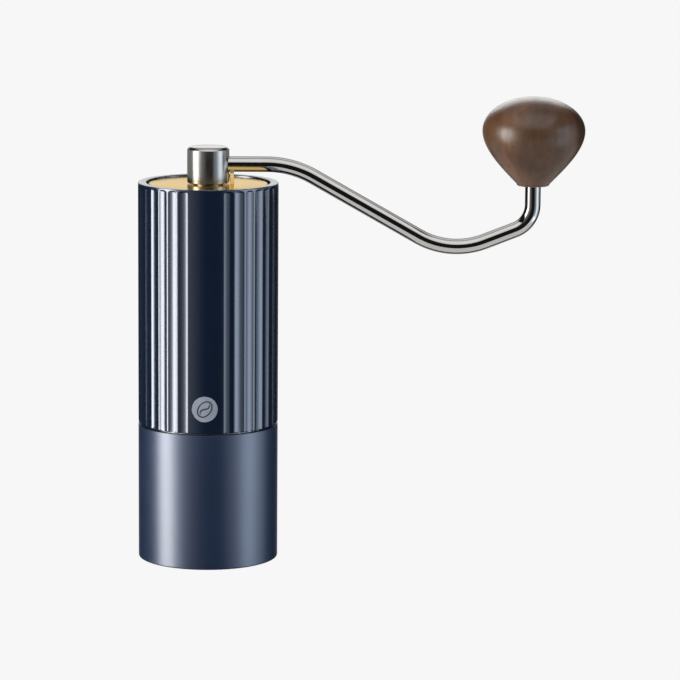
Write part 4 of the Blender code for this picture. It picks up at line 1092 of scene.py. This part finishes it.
def receive(light, piece):
    """Lets the light reach this piece only."""
    only = bpy.data.collections.new(f"lit_by_{light.name}")
    bpy.context.scene.collection.children.link(only)
    only.objects.link(piece)
    light.light_linking.receiver_collection = only


def make_lights(pieces):
    """A strong wide box on the left, a weaker one on the right, and one overhead. A panel and a wall behind
    show in the lid, in the rim and along the edges. The rest light one piece each."""
    left = softbox("left_box", -50, 0, 1.0, (1.75, 1.1), 4.9, tint=(1.0, 0.985, 0.95))
    fade(left, "X", *LEFT_FADE)
    right = softbox("right_box", *RIGHT_BOX, 1.77, tint=(0.78, 0.89, 1.0))
    fade(right, "X", *RIGHT_FADE)
    overhead = softbox("overhead_box", 0, 80, 1.1, (1.6, 2.4), 1.15)
    fade(overhead, "Y", *OVERHEAD_FADE)
    softbox("back_panel", 180, 14, 1.6, (0.8, 0.71), 0.7)
    softbox("back_wall", 180, 0, 1.6, (1.3, 1.2), 0.25)
    for piece, *light in PIECE_LIGHTS:
        receive(softbox(*light), pieces[piece])
    warmer = softbox("hub_warm", *RIGHT_BOX, 0.6, tint=(1.0, 0.5, 0.02))
    fade(warmer, "X", *RIGHT_FADE)
    receive(warmer, pieces["hub"])


def pale(name):
    """A plain glowing surface that takes no light or shade."""
    material = bpy.data.materials.new(name)
    material.use_nodes = True
    shader = next(n for n in material.node_tree.nodes if n.type == "BSDF_PRINCIPLED")
    shader.inputs["Base Color"].default_value = (0.0, 0.0, 0.0, 1.0)
    shader.inputs["Roughness"].default_value = 1.0
    shader.inputs["Specular IOR Level"].default_value = 0.0
    shader.inputs["Emission Color"].default_value = (1.0, 1.0, 1.0, 1.0)
    shader.inputs["Emission Strength"].default_value = STAGE_GLOW
    return material


def make_stage():
    """A wide pale floor and a dome round it. Polished metal sees the lights instead of them."""
    bm = bmesh.new()
    bmesh.ops.create_circle(bm, cap_ends=True, segments=96, radius=STAGE_RADIUS)
    floor = piece_from("floor", bm)
    floor.location.z = -FLOOR_DROP * MM
    floor.data.materials.append(pale("floor_pale"))
    bm = bmesh.new()
    bmesh.ops.create_icosphere(bm, subdivisions=4, radius=STAGE_RADIUS)
    dome = piece_from("dome", bm)
    dome.data.materials.append(pale("dome_pale"))
    for obj in (floor, dome):
        obj.visible_glossy = False
        obj.visible_shadow = False
        obj.visible_diffuse = False
    world = bpy.data.worlds.new("studio")
    world.use_nodes = True
    background = next(n for n in world.node_tree.nodes if n.type == "BACKGROUND")
    background.inputs["Color"].default_value = (1.0, 1.0, 1.0, 1.0)
    background.inputs["Strength"].default_value = WORLD_GLOW
    bpy.context.scene.world = world
    bpy.context.scene.view_settings.view_transform = "Standard"


def main():
    make_cup()
    make_shell()
    make_badge()
    make_barrel()
    make_bridges()
    make_bearings()
    make_burrs()
    make_click_plate()
    make_detents()
    make_dial()
    make_shaft()
    make_burr_spring()
    lit = {"arm": make_arm(), "hub": make_hub(), "lug": make_lid()}
    make_lid_fasteners()
    lit["knob"] = make_knob()
    dress_nodes()
    make_camera()
    make_lights(lit)
    make_stage()


main()
